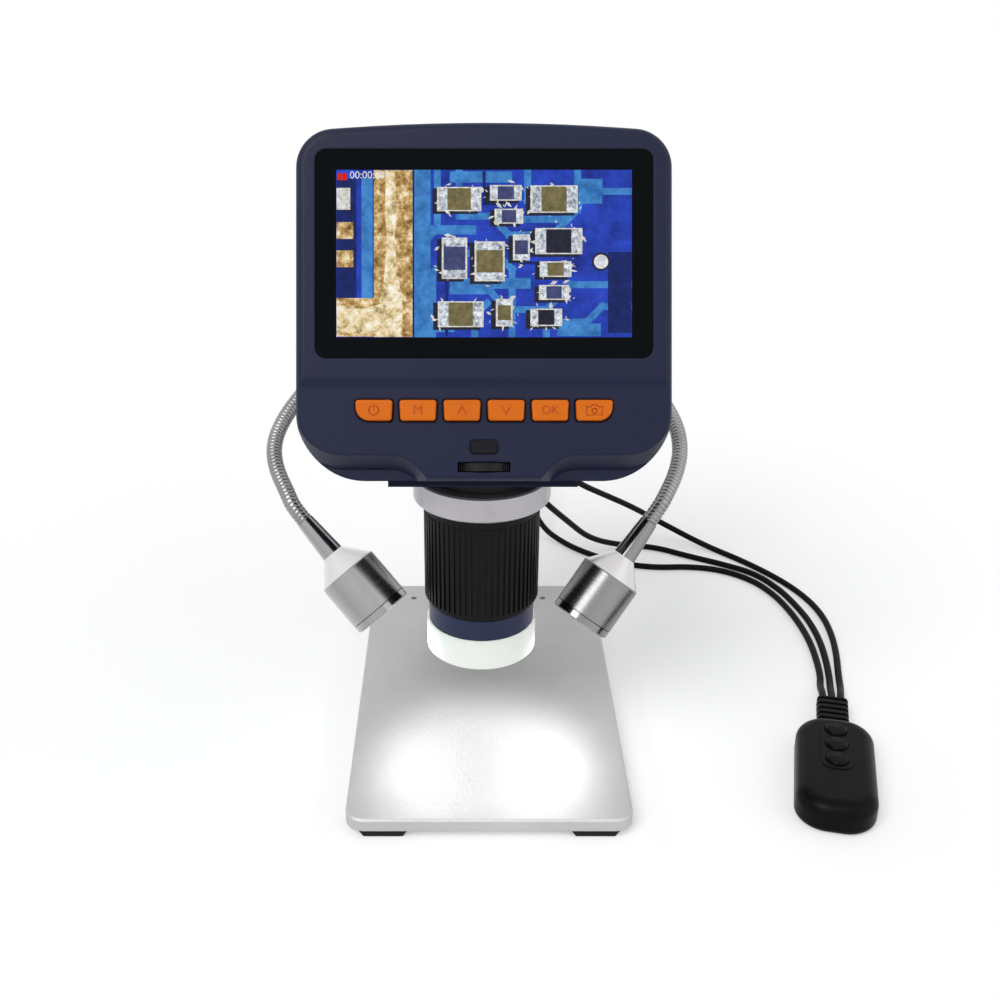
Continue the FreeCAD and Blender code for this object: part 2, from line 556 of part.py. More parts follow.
def head_shells():
    """Front shell with the window, keys and wheel slot, and the rear shell with the neck."""
    place = head_place()
    front, wall = val("shell_front"), val("shell_wall")
    shell = slab(face_outline(), -front, 0)
    rim = [edge for edge in shell.Edges if edge.BoundBox.ZMin > -1e-3]
    shell = shell.makeFillet(val("face_edge_round"), rim)
    inner = face_outline(wall)
    inner[0] = (inner[0][0], -val("board_low") - 1, 6.0)
    inner[1] = (inner[1][0], -val("board_low") - 1, 6.0)
    shell = shell.cut(slab(inner, -front - 1, -wall))
    gap = val("glass_gap")
    recess = block_face(val("glass_wide") + 2 * gap, val("glass_tall") + 2 * gap,
                        val("glass_corner"))
    sunk = val("glass_thick + glass_drop")
    shell = shell.cut(slab(recess, -sunk, 1))
    shell = shell.cut(slab(block_face(val("panel_wide") + 0.6, val("panel_tall") + 0.6, 1.0),
                           -front - 1, 1))
    shell = shell.cut(ridge_cut())
    run = val("step_run") / 2
    side = [Vector(-80, -val("step_line") + run, 0), Vector(-80, -val("step_line") + run, 2),
            Vector(-80, -val("step_line") - 40, 2),
            Vector(-80, -val("step_line") - 40, -val("step_deep")),
            Vector(-80, -val("step_line") - run, -val("step_deep"))]
    shell = shell.cut(Part.Face(Part.makePolygon(side + side[:1])).extrude(Vector(160, 0, 0)))
    for corners in key_outlines(val("key_gap")):
        shell = shell.cut(slab(corners, -front - 1, 1))
    window = block_face(val("window_wide"), val("window_tall"), 1.2, 0, -val("window_line"))
    shell = shell.cut(slab(window, -val("window_deep"), 1))
    wheel_z = val("wheel_rise - wheel_radius")
    side_gap = val("wheel_gap")
    room = Part.makeCylinder(val("wheel_radius") + side_gap, val("wheel_thick") + 2 * side_gap,
                             Vector(0, -val("wheel_line") - val("wheel_thick") / 2 - side_gap,
                                    wheel_z), Vector(0, 1, 0))
    slot = Part.makeBox(val("slot_wide"), val("wheel_thick") + 2 * side_gap,
                        val("slot_deep") + 1,
                        Vector(-val("slot_wide") / 2,
                               -val("wheel_line") - val("wheel_thick") / 2 - side_gap,
                               -val("slot_deep")))
    axle = Part.makeCylinder(val("axle_radius + axle_gap"),
                             val("wheel_thick") + 2 * val("axle_long") + 2 * side_gap,
                             Vector(0, -val("wheel_line") - val("wheel_thick") / 2
                                    - val("axle_long") - side_gap, wheel_z), Vector(0, 1, 0))
    shell = shell.cut(room).cut(slot).cut(axle)
    port = Part.makeBox(val("socket_deep") + 4, val("socket_wide"), val("socket_tall"),
                        Vector(val("face_half") - val("socket_deep"),
                               -val("socket_line") - val("socket_wide") / 2,
                               -front + 0.9))
    shell = shell.cut(port)
    shaped("front_shell", shell.removeSplitter(), place)

    back = front + val("shell_back")
    sections = [rounded_wire(face_outline(), -front),
                rounded_wire(face_outline(1.2), -front - val("shell_back") * 0.45),
                rounded_wire(face_outline(val("back_inset")), -back)]
    rear = Part.makeLoft(sections[:2], True, True).fuse(
        Part.makeLoft(sections[1:], True, True)).removeSplitter()
    board_room = face_outline(wall + 3)
    rear = rear.cut(slab(board_room, -front - val("room_deep"), -front + 1))
    rear.Placement = place
    half = val("neck_wide") / 2
    low, neck_front, neck_back = val("neck_low"), -val("neck_front"), -val("neck_back")
    side = [Vector(-half, neck_front, low), Vector(-half, neck_back, low),
            Vector(-half, neck_back, low + 22), Vector(-half, neck_back - 14, val("neck_top")),
            Vector(-half, neck_back - 20, val("neck_top"))]
    neck = Part.Face(Part.makePolygon(side + side[:1])).extrude(Vector(2 * half, 0, 0))
    corner = [edge for edge in neck.Edges if upright(edge)]
    neck = neck.makeFillet(val("neck_round"), corner)
    hollow = slab(face_outline(wall + 3), -front - val("room_deep"), 15)
    hollow.Placement = place
    rear = rear.fuse(neck.cut(hollow))
    socket = Part.makeCylinder(val("barrel_radius"), 7, Vector(0, -val("tube_middle"), low))
    light = Part.makeCylinder(val("barrel_bore") - 4, 40, Vector(0, -val("tube_middle"), low))
    rear = rear.cut(socket).cut(light)
    cutter = room.fuse(axle)
    cutter.Placement = place
    rear = rear.cut(cutter)
    shaped("rear_shell", rear.removeSplitter())

    body = turned("dimmer_wheel",
                  [("0", "-wheel_thick / 2 - axle_long"),
                   ("axle_radius", "-wheel_thick / 2 - axle_long"),
                   ("axle_radius", "-wheel_thick / 2"), ("wheel_radius", "-wheel_thick / 2"),
                   ("wheel_radius", "wheel_thick / 2"), ("axle_radius", "wheel_thick / 2"),
                   ("axle_radius", "wheel_thick / 2 + axle_long"),
                   ("0", "wheel_thick / 2 + axle_long")])
    local = Placement(Vector(0, -val("wheel_line"), wheel_z), Rotation(Vector(1, 0, 0), -90))
    body.Placement = place.multiply(local)
    shaped("side_socket", Part.makeBox(
        val("socket_deep"), val("socket_wide"), val("socket_tall"),
        Vector(val("face_half") - val("socket_deep") - 0.6,
               -val("socket_line") - val("socket_wide") / 2, -front + 0.9)), place)


def key_outlines(grow=0.0):
    """Outlines of the six keys; the outer two have one large lower corner."""
    wide, tall = val("key_wide") / 2 + grow, val("key_tall") / 2 + grow
    small, large = val("key_round"), val("key_big_round")
    rows = []
    for index in range(6):
        x = (index - 2.5) * val("key_pitch")
        y = -val("key_line")
        left = large if index == 0 else small
        right = large if index == 5 else small
        lean = 0.35
        rows.append([(x - wide + lean, y - tall, left), (x + wide - lean, y - tall, right),
                     (x + wide, y + tall, small), (x - wide, y + tall, small)])
    return rows


def head_inside():
    """Keys, cover glass, picture panel, circuit board and the remote window."""
    place = head_place()
    names = ("power", "menu", "up", "down", "ok", "camera")
    for name, corners in zip(names, key_outlines()):
        key = slab(corners, -val("key_sink"), val("key_rise"))
        top = [edge for edge in key.Edges if edge.BoundBox.ZMin > val("key_rise") - 1e-3]
        shaped("button_" + name, key.makeFillet(0.6, top), place)
    drop, thick = val("glass_drop"), val("glass_thick")
    glass = slab(block_face(val("glass_wide"), val("glass_tall"), val("glass_corner") - 0.15),
                 -drop - thick, -drop)
    shaped("display_glass", glass, place)
    for label, wide, tall, deep, high, middle in (
            ("lcd_panel", "panel_wide", "panel_tall", "panel_thick", "-glass_drop - glass_thick",
             "0"),
            ("main_board", "board_wide", "board_top + board_low", "board_thick", "-board_deep",
             "(board_top - board_low) / 2")):
        body = new_body(label)
        pad(body, profile(body, "XY_Plane", box_corners(wide, tall, "0", middle), high), deep,
            True)
        keep(body, place)
    window = slab(block_face(val("window_wide") - 0.1, val("window_tall") - 0.1, 1.1, 0,
                             -val("window_line")), -val("window_deep"), 0.2)
    shaped("ir_window", window, place)


# Where each lamp hangs in the photograph: the middle of its front face, its pointing
# direction, and the way its gooseneck takes from the lamp back up to the mount.
LAMPS = {
    "left": (Vector(-37.6, -28.0, 59.9), Vector(0.647, -0.315, -0.694),
             [(-74.6, -7.2, 100.6), (-80.6, 3.2, 108.0), (-82.2, 14.2, 114.0),
              (-78.6, 26.4, 120.4), (-70.2, 38.4, 128.6), (-58.6, 49.8, 139.0),
              (-46.0, 58.8, 148.6)]),
    "right": (Vector(38.0, -28.0, 56.6), Vector(-0.573, -0.324, -0.754),
              [(70.6, -8.6, 99.2), (76.6, 1.4, 106.0), (79.6, 12.8, 112.4),
               (78.2, 25.2, 119.4), (70.6, 38.4, 128.2), (58.8, 49.8, 139.0),
               (46.0, 58.8, 148.6)]),
}


def lamp_frame(side):
    """Frame with z along the lamp from its front face back towards the gooseneck."""
    front, aim, route = LAMPS[side]
    return Placement(front, Rotation(Vector(0, 0, 1), aim * -1.0))


def lamps():
    """Mount block on the column, two goosenecks, and the two turned lamps."""
    rear = val("column_middle")
    wide, deep, tall = val("mount_wide"), val("mount_deep"), val("mount_tall")
    low = val("mount_low")
    start = val("column_middle + column_deep / 2")
    block = slab([(-wide / 2, start, 2), (wide / 2, start, 2), (wide / 2, start + deep, 4),
                  (-wide / 2, start + deep, 4)], low, low + tall)
    shaped("lamp_mount", block)
    neck = "bezel_long + lamp_body_long + lamp_cone_long"
    body_low = "bezel_long"
    shoulder = "bezel_long + lamp_body_long"
    for side, sign in (("left", -1), ("right", 1)):
        place = lamp_frame(side)
        turned("lamp_bezel_" + side,
               [("lamp_radius - lamp_wall", "0"), ("lamp_radius - 0.5", "0"),
                ("lamp_radius", "0.5"), ("lamp_radius", "bezel_long - 0.3"),
                ("lamp_radius - 0.4", "bezel_long"), ("lamp_radius - lamp_wall", "bezel_long")],
               place)
        turned("lamp_shell_" + side,
               [("0", body_low + " + 6"), ("lamp_radius - lamp_wall", body_low + " + 6"),
                ("lamp_radius - lamp_wall", body_low), ("lamp_radius", body_low),
                ("lamp_radius", shoulder + " - 0.5"), ("lamp_radius - 0.5", shoulder),
                ("lamp_neck_radius", neck), ("0", neck)], place)
        turned("lamp_lens_" + side,
               [("0", "lens_seat - 0.6"), ("lamp_radius - lamp_wall - 0.05", "lens_seat"),
                ("lamp_radius - lamp_wall - 0.05", "lens_seat + 1.8"),
                ("0", "lens_seat + 1.8")], place)
        turned("lamp_stem_" + side,
               [("0", neck), ("stem_low_radius", neck),
                ("stem_top_radius", neck + " + stem_long"), ("0", neck + " + stem_long")], place)
        back = val(neck + " + stem_long")
        goose = [place.multVec(Vector(0, 0, back)), place.multVec(Vector(0, 0, back + 7))]
        goose += [Vector(*point) for point in LAMPS[side][2]]
        nut_out = wide / 2 + val("nut_gap")
        nut_y, nut_z = start + deep / 2, low + tall / 2
        goose += [Vector(sign * (nut_out + 17), nut_y, nut_z),
                  Vector(sign * (nut_out + 2), nut_y, nut_z)]
        goose[-3] = Vector(sign * (nut_out + 33), nut_y - 20, nut_z - 8)
        nut = Part.makeCylinder(val("nut_radius"), val("nut_long"),
                                Vector(sign * nut_out, nut_y, nut_z), Vector(sign, 0, 0))
        hose = tube("gooseneck_" + side, goose, val("goose_radius"))
        shaped("gooseneck_" + side, hose.fuse(nut).removeSplitter())


def controller():
    """Pill-shaped light controller lying on the table, with three keys and a ribbed boot."""
    place = Placement(Vector(val("box_x"), -val("box_front"), 0),
                      Rotation(Vector(0, 0, 1), -val("box_turn")))
    long, wide, tall = val("box_long"), val("box_wide"), val("box_tall")
    split, edge = val("box_split"), val("box_edge")
    outline = block_face(wide, long, val("box_round"))
    lower = slab(outline, 0, split)
    lower = lower.makeFillet(edge - 0.5, [item for item in lower.Edges
                                          if item.BoundBox.ZMax < 1e-3])
    shaped("controller_base", lower, place)
    upper = slab(outline, split, tall)
    upper = upper.makeFillet(edge + 2.0, [item for item in upper.Edges
                                          if item.BoundBox.ZMin > tall - 1e-3])
    radius, gap = val("box_key_radius"), val("box_key_gap")
    sink = 3.0
    panel = slab(block_face(radius * 2 + 3.4, val("box_key_pitch") * 2 + radius * 2 + 3.4, 4.5,
                            0, val("box_key_shift")), tall - 1.0, tall + 0.3)
    upper = upper.fuse(panel)
    for index in range(3):
        y = val("box_key_shift") + (1 - index) * val("box_key_pitch")
        upper = upper.cut(Part.makeCylinder(radius + gap, sink + 2, Vector(0, y, tall - sink)))
        key = turned("controller_key_" + "abc"[index],
                     [("0", "box_key_travel + 0.2"), ("box_key_radius", "box_key_travel + 0.2"),
                      ("box_key_radius", "3.3 + box_key_rise - 0.6"),
                      ("box_key_radius - 0.7", "3.3 + box_key_rise"),
                      ("0", "3.3 + box_key_rise + 0.3")])
        key.Placement = place.multiply(Placement(Vector(0, y, tall - sink), Rotation()))
    shaped("controller_shell", upper.removeSplitter(), place)
    start = long / 2
    boot_long = val("relief_long")
    boot_wide, boot_tall = val("relief_wide"), val("relief_tall")
    middle = val("relief_high")
    boot = Part.makeBox(boot_wide, boot_long, boot_tall,
                        Vector(-boot_wide / 2, start, middle - boot_tall / 2))
    boot = boot.makeFillet(2.0, [item for item in boot.Edges
                                 if item.BoundBox.YLength > boot_long - 1e-3])
    count = int(round(val("relief_ribs")))
    deep = val("relief_rib_deep")
    for index in range(count):
        y = start + boot_long * (index + 0.9) / (count + 0.6)
        frame = Part.makeBox(boot_wide + 2, 1.6, boot_tall + 2,
                             Vector(-boot_wide / 2 - 1, y, middle - boot_tall / 2 - 1))
        core = Part.makeBox(boot_wide - 2 * deep, 1.6, boot_tall - 2 * deep,
                            Vector(-boot_wide / 2 + deep, y, middle - boot_tall / 2 + deep))
        boot = boot.cut(frame.cut(core))
    shaped("controller_boot", boot, place)
    return place


# Routes of the cords over the table, from the boot of the controller to the stand.
ROUTE_RIGHT = [(157.3, 19.5), (160.8, 35.9), (163.1, 53.3), (163.1, 71.6), (158.8, 89.4),
               (149.6, 107.4), (135.6, 126.0), (118.8, 143.8)]
AIR_RIGHT = [(97.3, 150.0, 11.3), (79.8, 138.0, 26.3), (63.9, 126.6, 38.4),
             (47.6, 112.0, 52.0), (30.0, 97.4, 72.0), (16.6, 86.6, 98.0)]
ROUTE_LEFT = [(153.0, 18.4), (155.0, 33.0), (156.2, 48.0), (155.6, 65.0), (152.7, 80.1),
              (148.4, 95.4), (139.6, 112.0), (125.0, 122.0), (108.6, 131.0), (92.6, 141.4),
              (74.6, 143.6)]
AIR_LEFT = [(57.4, 131.4, 11.6), (44.4, 115.6, 29.4), (30.0, 99.0, 49.0), (13.0, 88.6, 74.0),
            (0.4, 84.0, 101.0)]
ROUTE_USB = [(149.0, 17.4), (150.6, 31.0), (151.4, 46.0), (150.6, 61.0), (148.4, 75.6),
             (144.6, 90.0), (137.4, 104.4), (124.1, 115.4), (108.0, 119.4), (90.0, 118.2),
             (72.6, 122.8), (56.3, 134.3), (45.1, 146.6)]


def cords(place):
    """Two lamp leads, the supply lead with its coil, and the plug."""
    radius = val("cord_radius")
    floor = radius + 0.1
    end = val("box_long / 2 + relief_long")
    apart = val("cord_apart")
    exits = {}
    for name, shift in (("right", 1), ("left", 0), ("usb", -1)):
        first = place.multVec(Vector(shift * apart, end, val("relief_high")))
        second = place.multVec(Vector(shift * apart, end + 7, val("relief_high")))
        third = place.multVec(Vector(shift * apart * 1.2, end + 17, floor))
        exits[name] = [first, second, third]
    low = val("mount_low")
    back = val("column_middle + column_deep / 2")
    under = back + val("mount_deep") / 2
    for name, route, across, air in (("right", ROUTE_RIGHT, 12.0, AIR_RIGHT),
                                     ("left", ROUTE_LEFT, -2.0, AIR_LEFT)):
        points = exits[name] + [Vector(x, y, floor) for x, y in route]
        points += [Vector(*point) for point in air]
        points += [Vector(across, under, low - 24), Vector(across, under, low)]
        shaped("lamp_lead_" + name, tube("lamp_lead_" + name, points, radius))
    turns, ring = int(round(val("coil_turns"))), val("coil_radius")
    rise = val("coil_pitch")
    high = floor + turns * rise
    middle = Vector(9.0, 190.0, 0)
    top = Vector(middle.x + ring, middle.y, high)
    points = exits["usb"] + [Vector(x, y, floor) for x, y in ROUTE_USB]
    points += [Vector(34.6, 158.6, floor + 3), Vector(top.x + 2.6, 169.6, high - 5),
               Vector(top.x, top.y - 11, high), top]
    shaped("usb_lead", tube("usb_lead", points, radius))
    edges = []
    for index in range(turns * 4):
        spots = []
        for part in (0.0, 0.5, 1.0):
            angle = (index + part) * math.pi / 2
            spots.append(Vector(middle.x + ring * math.cos(angle),
                                middle.y + ring * math.sin(angle),
                                high - rise * (index + part) / 4))
        edges.append(Part.Arc(*spots).toShape())
    plug_high = val("plug_tall") / 2 + 0.1
    tail, least = arc_path([Vector(top.x, top.y, floor), Vector(top.x, top.y + 9, floor),
                            Vector(top.x, top.y + 22, plug_high),
                            Vector(top.x, top.y + 30, plug_high)])
    path = Part.Wire(edges + tail)
    section = Part.Wire([Part.Circle(top, path.Edges[0].tangentAt(0), radius).toShape()])
    coil = path.makePipeShell([section], True, False)
    print("coil: length %.1f, gap between turns %.2f, volume ratio %.4f"
          % (path.Length, rise - 2 * radius,
             coil.Volume / (path.Length * math.pi * radius * radius)))
    shaped("usb_coil", coil)
    wide, tall, long = val("plug_wide"), val("plug_tall"), val("plug_long")
    grip = Part.makeBox(wide, long, tall, Vector(-wide / 2, 0, -tall / 2))
    grip = grip.makeFillet(2.0, [item for item in grip.Edges
                                 if item.BoundBox.YLength > long - 1e-3])
    tip_wide, tip_tall, tip = val("plug_tip_wide"), val("plug_tip_tall"), val("plug_tip_long")
    shell = Part.makeBox(tip_wide, tip, tip_tall, Vector(-tip_wide / 2, long, -tip_tall / 2))
    shell = shell.cut(Part.makeBox(tip_wide - 0.8, tip, tip_tall - 0.8,
                                   Vector(-tip_wide / 2 + 0.4, long + 1, -tip_tall / 2 + 0.4)))
    shaped("usb_plug", grip.fuse(shell).removeSplitter(),
           Placement(Vector(top.x, top.y + 30.05, plug_high), Rotation()))


base()
column()
carriage()
optics()
head_shells()
head_inside()
lamps()
cords(controller())
doc.recompute()

os.makedirs("parts", exist_ok=True)
for obj in doc.Objects:
    if "Invalid" in obj.State or "Error" in obj.State:
        raise RuntimeError("failed object: %s %s" % (obj.Name, obj.State))
for obj in OUT:
    if obj.Shape.isNull() or not obj.Shape.isValid():
        raise RuntimeError("bad shape: " + obj.Label)
    if len(obj.Shape.Solids) != 1:
        raise RuntimeError("%s has %d solids" % (obj.Label, len(obj.Shape.Solids)))
for obj in OUT:
    obj.Shape.exportStep(os.path.join("parts", obj.Label + ".step"))
print("%d sub-parts" % len(OUT))
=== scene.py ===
import math
import random

import bmesh
import bpy
from mathutils import Matrix, Vector


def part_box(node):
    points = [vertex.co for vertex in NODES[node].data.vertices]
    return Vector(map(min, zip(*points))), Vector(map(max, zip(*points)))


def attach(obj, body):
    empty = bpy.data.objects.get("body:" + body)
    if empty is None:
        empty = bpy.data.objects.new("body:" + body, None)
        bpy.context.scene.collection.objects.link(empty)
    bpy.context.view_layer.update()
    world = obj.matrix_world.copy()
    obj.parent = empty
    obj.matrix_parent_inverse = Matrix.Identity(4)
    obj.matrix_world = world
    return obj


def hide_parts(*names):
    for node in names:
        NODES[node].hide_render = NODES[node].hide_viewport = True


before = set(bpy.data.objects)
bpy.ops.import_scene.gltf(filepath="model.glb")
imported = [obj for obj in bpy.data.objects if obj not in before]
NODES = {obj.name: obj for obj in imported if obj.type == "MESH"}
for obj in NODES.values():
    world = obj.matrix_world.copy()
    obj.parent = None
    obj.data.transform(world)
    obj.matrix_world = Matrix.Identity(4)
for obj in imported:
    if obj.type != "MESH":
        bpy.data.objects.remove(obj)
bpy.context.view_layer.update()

random.seed(7)
SCENE = bpy.context.scene
MM = 0.001
SMOOTH_ANGLE = math.radians(32)

# Camera: the photograph looks down at about 25 degrees.
LOOK_DOWN = math.radians(25.1)
camera_data = bpy.data.cameras.new("camera")
camera_data.lens = 46.26
camera_data.sensor_width = 36.0
camera_data.sensor_fit = "HORIZONTAL"
camera_data.shift_x = 0.034
camera_data.clip_start = 0.01
camera = bpy.data.objects.new("camera", camera_data)
camera.location = (-0.0058, -0.4581, 0.3095)
camera.rotation_euler = (math.pi / 2 - LOOK_DOWN, 0, 0)
SCENE.collection.objects.link(camera)
SCENE.camera = camera


# Materials

def principled(name, color, rough=0.5, metal=0.0, **sockets):
    """New node material; further Principled sockets are given by their names."""
    material = bpy.data.materials.new(name)
    material.use_nodes = True
    shader = material.node_tree.nodes["Principled BSDF"]
    shader.inputs["Base Color"].default_value = (*color, 1)
    shader.inputs["Roughness"].default_value = rough
    shader.inputs["Metallic"].default_value = metal
    for key, value in sockets.items():
        shader.inputs[key.replace("_", " ")].default_value = value
    return material, material.node_tree, shader


def noise(tree, scale, detail=4.0, stretch=(1, 1, 1), rough=0.5):
    """Noise in the object's own coordinates; scale counts features per metre."""
    coords = tree.nodes.new("ShaderNodeTexCoord")
    mapping = tree.nodes.new("ShaderNodeMapping")
    mapping.inputs["Scale"].default_value = stretch
    texture = tree.nodes.new("ShaderNodeTexNoise")
    texture.inputs["Scale"].default_value = scale
    texture.inputs["Detail"].default_value = detail
    texture.inputs["Roughness"].default_value = rough
    tree.links.new(coords.outputs["Object"], mapping.inputs["Vector"])
    tree.links.new(mapping.outputs["Vector"], texture.inputs["Vector"])
    return texture.outputs["Fac"]


def spread(tree, source, low, high):
    """Map a 0..1 value to low..high."""
    node = tree.nodes.new("ShaderNodeMapRange")
    node.inputs["From Min"].default_value = 0.3
    node.inputs["From Max"].default_value = 0.7
    node.inputs["To Min"].default_value = low
    node.inputs["To Max"].default_value = high
    tree.links.new(source, node.inputs["Value"])
    return node.outputs["Result"]


def tint(tree, source, first, second):
    """Colour that runs from first to second as the source rises."""
    ramp = tree.nodes.new("ShaderNodeValToRGB")
    ramp.color_ramp.elements[0].position = 0.3
    ramp.color_ramp.elements[1].position = 0.7
    ramp.color_ramp.elements[0].color = (*first, 1)
    ramp.color_ramp.elements[1].color = (*second, 1)
    tree.links.new(source, ramp.inputs["Fac"])
    return ramp.outputs["Color"]


def bump(tree, shader, height, strength, distance, edge=0.0):
    """Bump from a height; edge is the radius in metres at which sharp edges look rounded."""
    node = tree.nodes.new("ShaderNodeBump")
    if edge:
        soft = tree.nodes.new("ShaderNodeBevel")
        soft.samples = 6
        soft.inputs["Radius"].default_value = edge
        tree.links.new(soft.outputs["Normal"], node.inputs["Normal"])
    node.inputs["Strength"].default_value = strength
    node.inputs["Distance"].default_value = distance
    tree.links.new(height, node.inputs["Height"])
    tree.links.new(node.outputs["Normal"], shader.inputs["Normal"])


def shade(color, factor):
    """A darker or lighter form of a colour."""
    return tuple(min(1.0, part * factor) for part in color)


def textured(name, color, rough, metal=0.0, grain=2500, grain_bump=0.15, patch=60,
             vary=0.12, rough_vary=0.08, stretch=(1, 1, 1), depth=0.0002, edge=0.0,
             **sockets):
    """Fine grain in the bump, slow patches in colour and roughness."""
    material, tree, shader = principled(name, color, rough, metal, **sockets)
    slow = noise(tree, patch, 3.0)
    fine = noise(tree, grain, 5.0, stretch, 0.6)
    tree.links.new(tint(tree, slow, shade(color, 1 - vary), shade(color, 1 + vary)),
                   shader.inputs["Base Color"])
    tree.links.new(spread(tree, fine, max(rough - rough_vary, 0.02), rough + rough_vary),
                   shader.inputs["Roughness"])
    bump(tree, shader, fine, grain_bump, depth, edge)
    return material


NAVY = textured("navy_shell", (0.0072, 0.0105, 0.036), 0.45, grain=2600, grain_bump=0.22,
                vary=0.06, rough_vary=0.05, edge=0.0009, Specular_IOR_Level=0.22)
NAVY_RING = textured("navy_ring", (0.012, 0.018, 0.060), 0.4, grain=2600, grain_bump=0.12,
                     Specular_IOR_Level=0.3)
BLACK = textured("black_shell", (0.006, 0.006, 0.007), 0.42, grain=2200, grain_bump=0.2,
                 Specular_IOR_Level=0.25)
FOCUS = textured("focus_grip", (0.003, 0.003, 0.0035), 0.4, grain=3000, grain_bump=0.2,
                 Specular_IOR_Level=0.15)
RUBBER = textured("rubber_feet", (0.010, 0.009, 0.009), 0.75, grain=1500, grain_bump=0.3,
                  Specular_IOR_Level=0.25)
CORD = textured("cord_jacket", (0.004, 0.004, 0.005), 0.45, grain=1800, grain_bump=0.08,
                Specular_IOR_Level=0.08)
CONTROL = textured("controller_shell", (0.0035, 0.0035, 0.0045), 0.34, grain=2400,
                   grain_bump=0.12, Specular_IOR_Level=0.07)
ORANGE = textured("orange_key", (0.71, 0.15, 0.004), 0.42, grain=3000, grain_bump=0.06,
                  vary=0.05, edge=0.0004, Specular_IOR_Level=0.2)
ORANGE_DARK = textured("orange_mark", (0.50, 0.088, 0.006), 0.5, grain=3000,
                       grain_bump=0.05, vary=0.05, Specular_IOR_Level=0.2)
PLATE = textured("blasted_plate", (0.57, 0.56, 0.56), 0.5, 0.55, grain=1500,
                 grain_bump=0.6, patch=22, vary=0.05, rough_vary=0.1, depth=0.0003, edge=0.0004)
COLUMN = textured("column_metal", (0.42, 0.42, 0.43), 0.36, 1.0, grain=900, grain_bump=0.1,
                  stretch=(1, 1, 0.03))
COLLAR = textured("collar_metal", (0.48, 0.46, 0.485), 0.34, 0.8, grain=1400,
                  grain_bump=0.05, stretch=(0.15, 0.15, 3))
STEEL = textured("turned_steel", (0.42, 0.42, 0.43), 0.3, 1.0, grain=1200, grain_bump=0.06)
GLASS = textured("cover_glass", (0.003, 0.004, 0.005), 0.07, grain=300, grain_bump=0.0,
                 rough_vary=0.02, Specular_IOR_Level=0.035)
BOARD = textured("circuit_board", (0.02, 0.12, 0.05), 0.35, grain=800, grain_bump=0.1)
WINDOW = textured("dark_window", (0.004, 0.004, 0.006), 0.12, grain=300, grain_bump=0.0,
                  rough_vary=0.03, Specular_IOR_Level=0.2)
HOSE = textured("hose_chrome", (0.30, 0.298, 0.305), 0.27, 1.0, grain=700, grain_bump=0.04,
                patch=90, vary=0.12, rough_vary=0.06)


TURNED_GRAIN = (25, 25, 4200)


def painted_reflection_metal(name, aim, at, stops, rough, cone=None):
    """Satin turned metal whose colour carries painted reflections: lengthwise bands of light and
    dark round the axis through at.
    The metal is paler further back than cone, in millimetres from the front."""
    material, tree, shader = principled(name, (0.5, 0.5, 0.5), rough, 1.0)
    coords = tree.nodes.new("ShaderNodeTexCoord")
    centred = tree.nodes.new("ShaderNodeVectorMath")
    centred.operation = "SUBTRACT"
    centred.inputs[1].default_value = at * MM
    turned = tree.nodes.new("ShaderNodeVectorRotate")
    turned.rotation_type = "EULER_XYZ"
    turned.inputs["Rotation"].default_value = aim.to_track_quat("Z", "Y").inverted().to_euler()
    tree.links.new(coords.outputs["Object"], centred.inputs[0])
    tree.links.new(centred.outputs["Vector"], turned.inputs["Vector"])
    around = tree.nodes.new("ShaderNodeTexGradient")
    around.gradient_type = "RADIAL"
    tree.links.new(turned.outputs["Vector"], around.inputs["Vector"])
    ramp = tree.nodes.new("ShaderNodeValToRGB")
    ramp.color_ramp.interpolation = "B_SPLINE"
    for place, level in stops[1:-1]:
        ramp.color_ramp.elements.new(place)
    for element, (place, level) in zip(ramp.color_ramp.elements, stops):
        element.position = place
        element.color = (level, level * 0.985, level * 0.99, 1)
    tree.links.new(around.outputs["Fac"], ramp.inputs["Fac"])
    tree.links.new(ramp.outputs["Color"], shader.inputs["Base Color"])
    if cone is not None:
        parts = tree.nodes.new("ShaderNodeSeparateXYZ")
        behind = tree.nodes.new("ShaderNodeMath")
        behind.operation = "LESS_THAN"
        behind.inputs[1].default_value = -cone * MM
        paler = tree.nodes.new("ShaderNodeMixRGB")
        paler.blend_type = "SCREEN"
        paler.inputs["Color2"].default_value = (0.58, 0.56, 0.565, 1)
        tree.links.new(turned.outputs["Vector"], parts.inputs["Vector"])
        tree.links.new(parts.outputs["Z"], behind.inputs[0])
        tree.links.new(behind.outputs["Value"], paler.inputs["Fac"])
        tree.links.new(ramp.outputs["Color"], paler.inputs["Color1"])
        tree.links.new(paler.outputs["Color"], shader.inputs["Base Color"])
    mapping = tree.nodes.new("ShaderNodeMapping")
    mapping.inputs["Scale"].default_value = TURNED_GRAIN
    fine = tree.nodes.new("ShaderNodeTexNoise")
    fine.inputs["Scale"].default_value = 1.0
    tree.links.new(turned.outputs["Vector"], mapping.inputs["Vector"])
    tree.links.new(mapping.outputs["Vector"], fine.inputs["Vector"])
    tree.links.new(spread(tree, fine.outputs["Fac"], rough - 0.04, rough + 0.04),
                   shader.inputs["Roughness"])
    return material


def glowing(name, color, strength, rough=0.3, **sockets):
    """Surface that gives off a little of its own colour: lit on a lamp's window, a painted glow
    on a part that is no lamp.
    """
    material, tree, shader = principled(name, color, rough, 0.0, **sockets)
    slow = noise(tree, 90, 3.0)
    tree.links.new(spread(tree, slow, rough - 0.05, rough + 0.05), shader.inputs["Roughness"])
    shader.inputs["Emission Color"].default_value = (*color, 1)
    shader.inputs["Emission Strength"].default_value = strength
    return material


# Lamps: the direction each one shines in, and the middle of its front in millimetres.
LAMP_AIM = {"left": Vector((0.647, -0.315, -0.694)), "right": Vector((-0.573, -0.324, -0.754))}
LAMP_FRONT = {"left": Vector((-37.6, -28.0, 59.9)), "right": Vector((38.0, -28.0, 56.6))}
BEZEL_DEEP, SHELL_DEEP, CONE_DEEP, STEM_DEEP = 3.2, 18.4, 8.6, 16.5
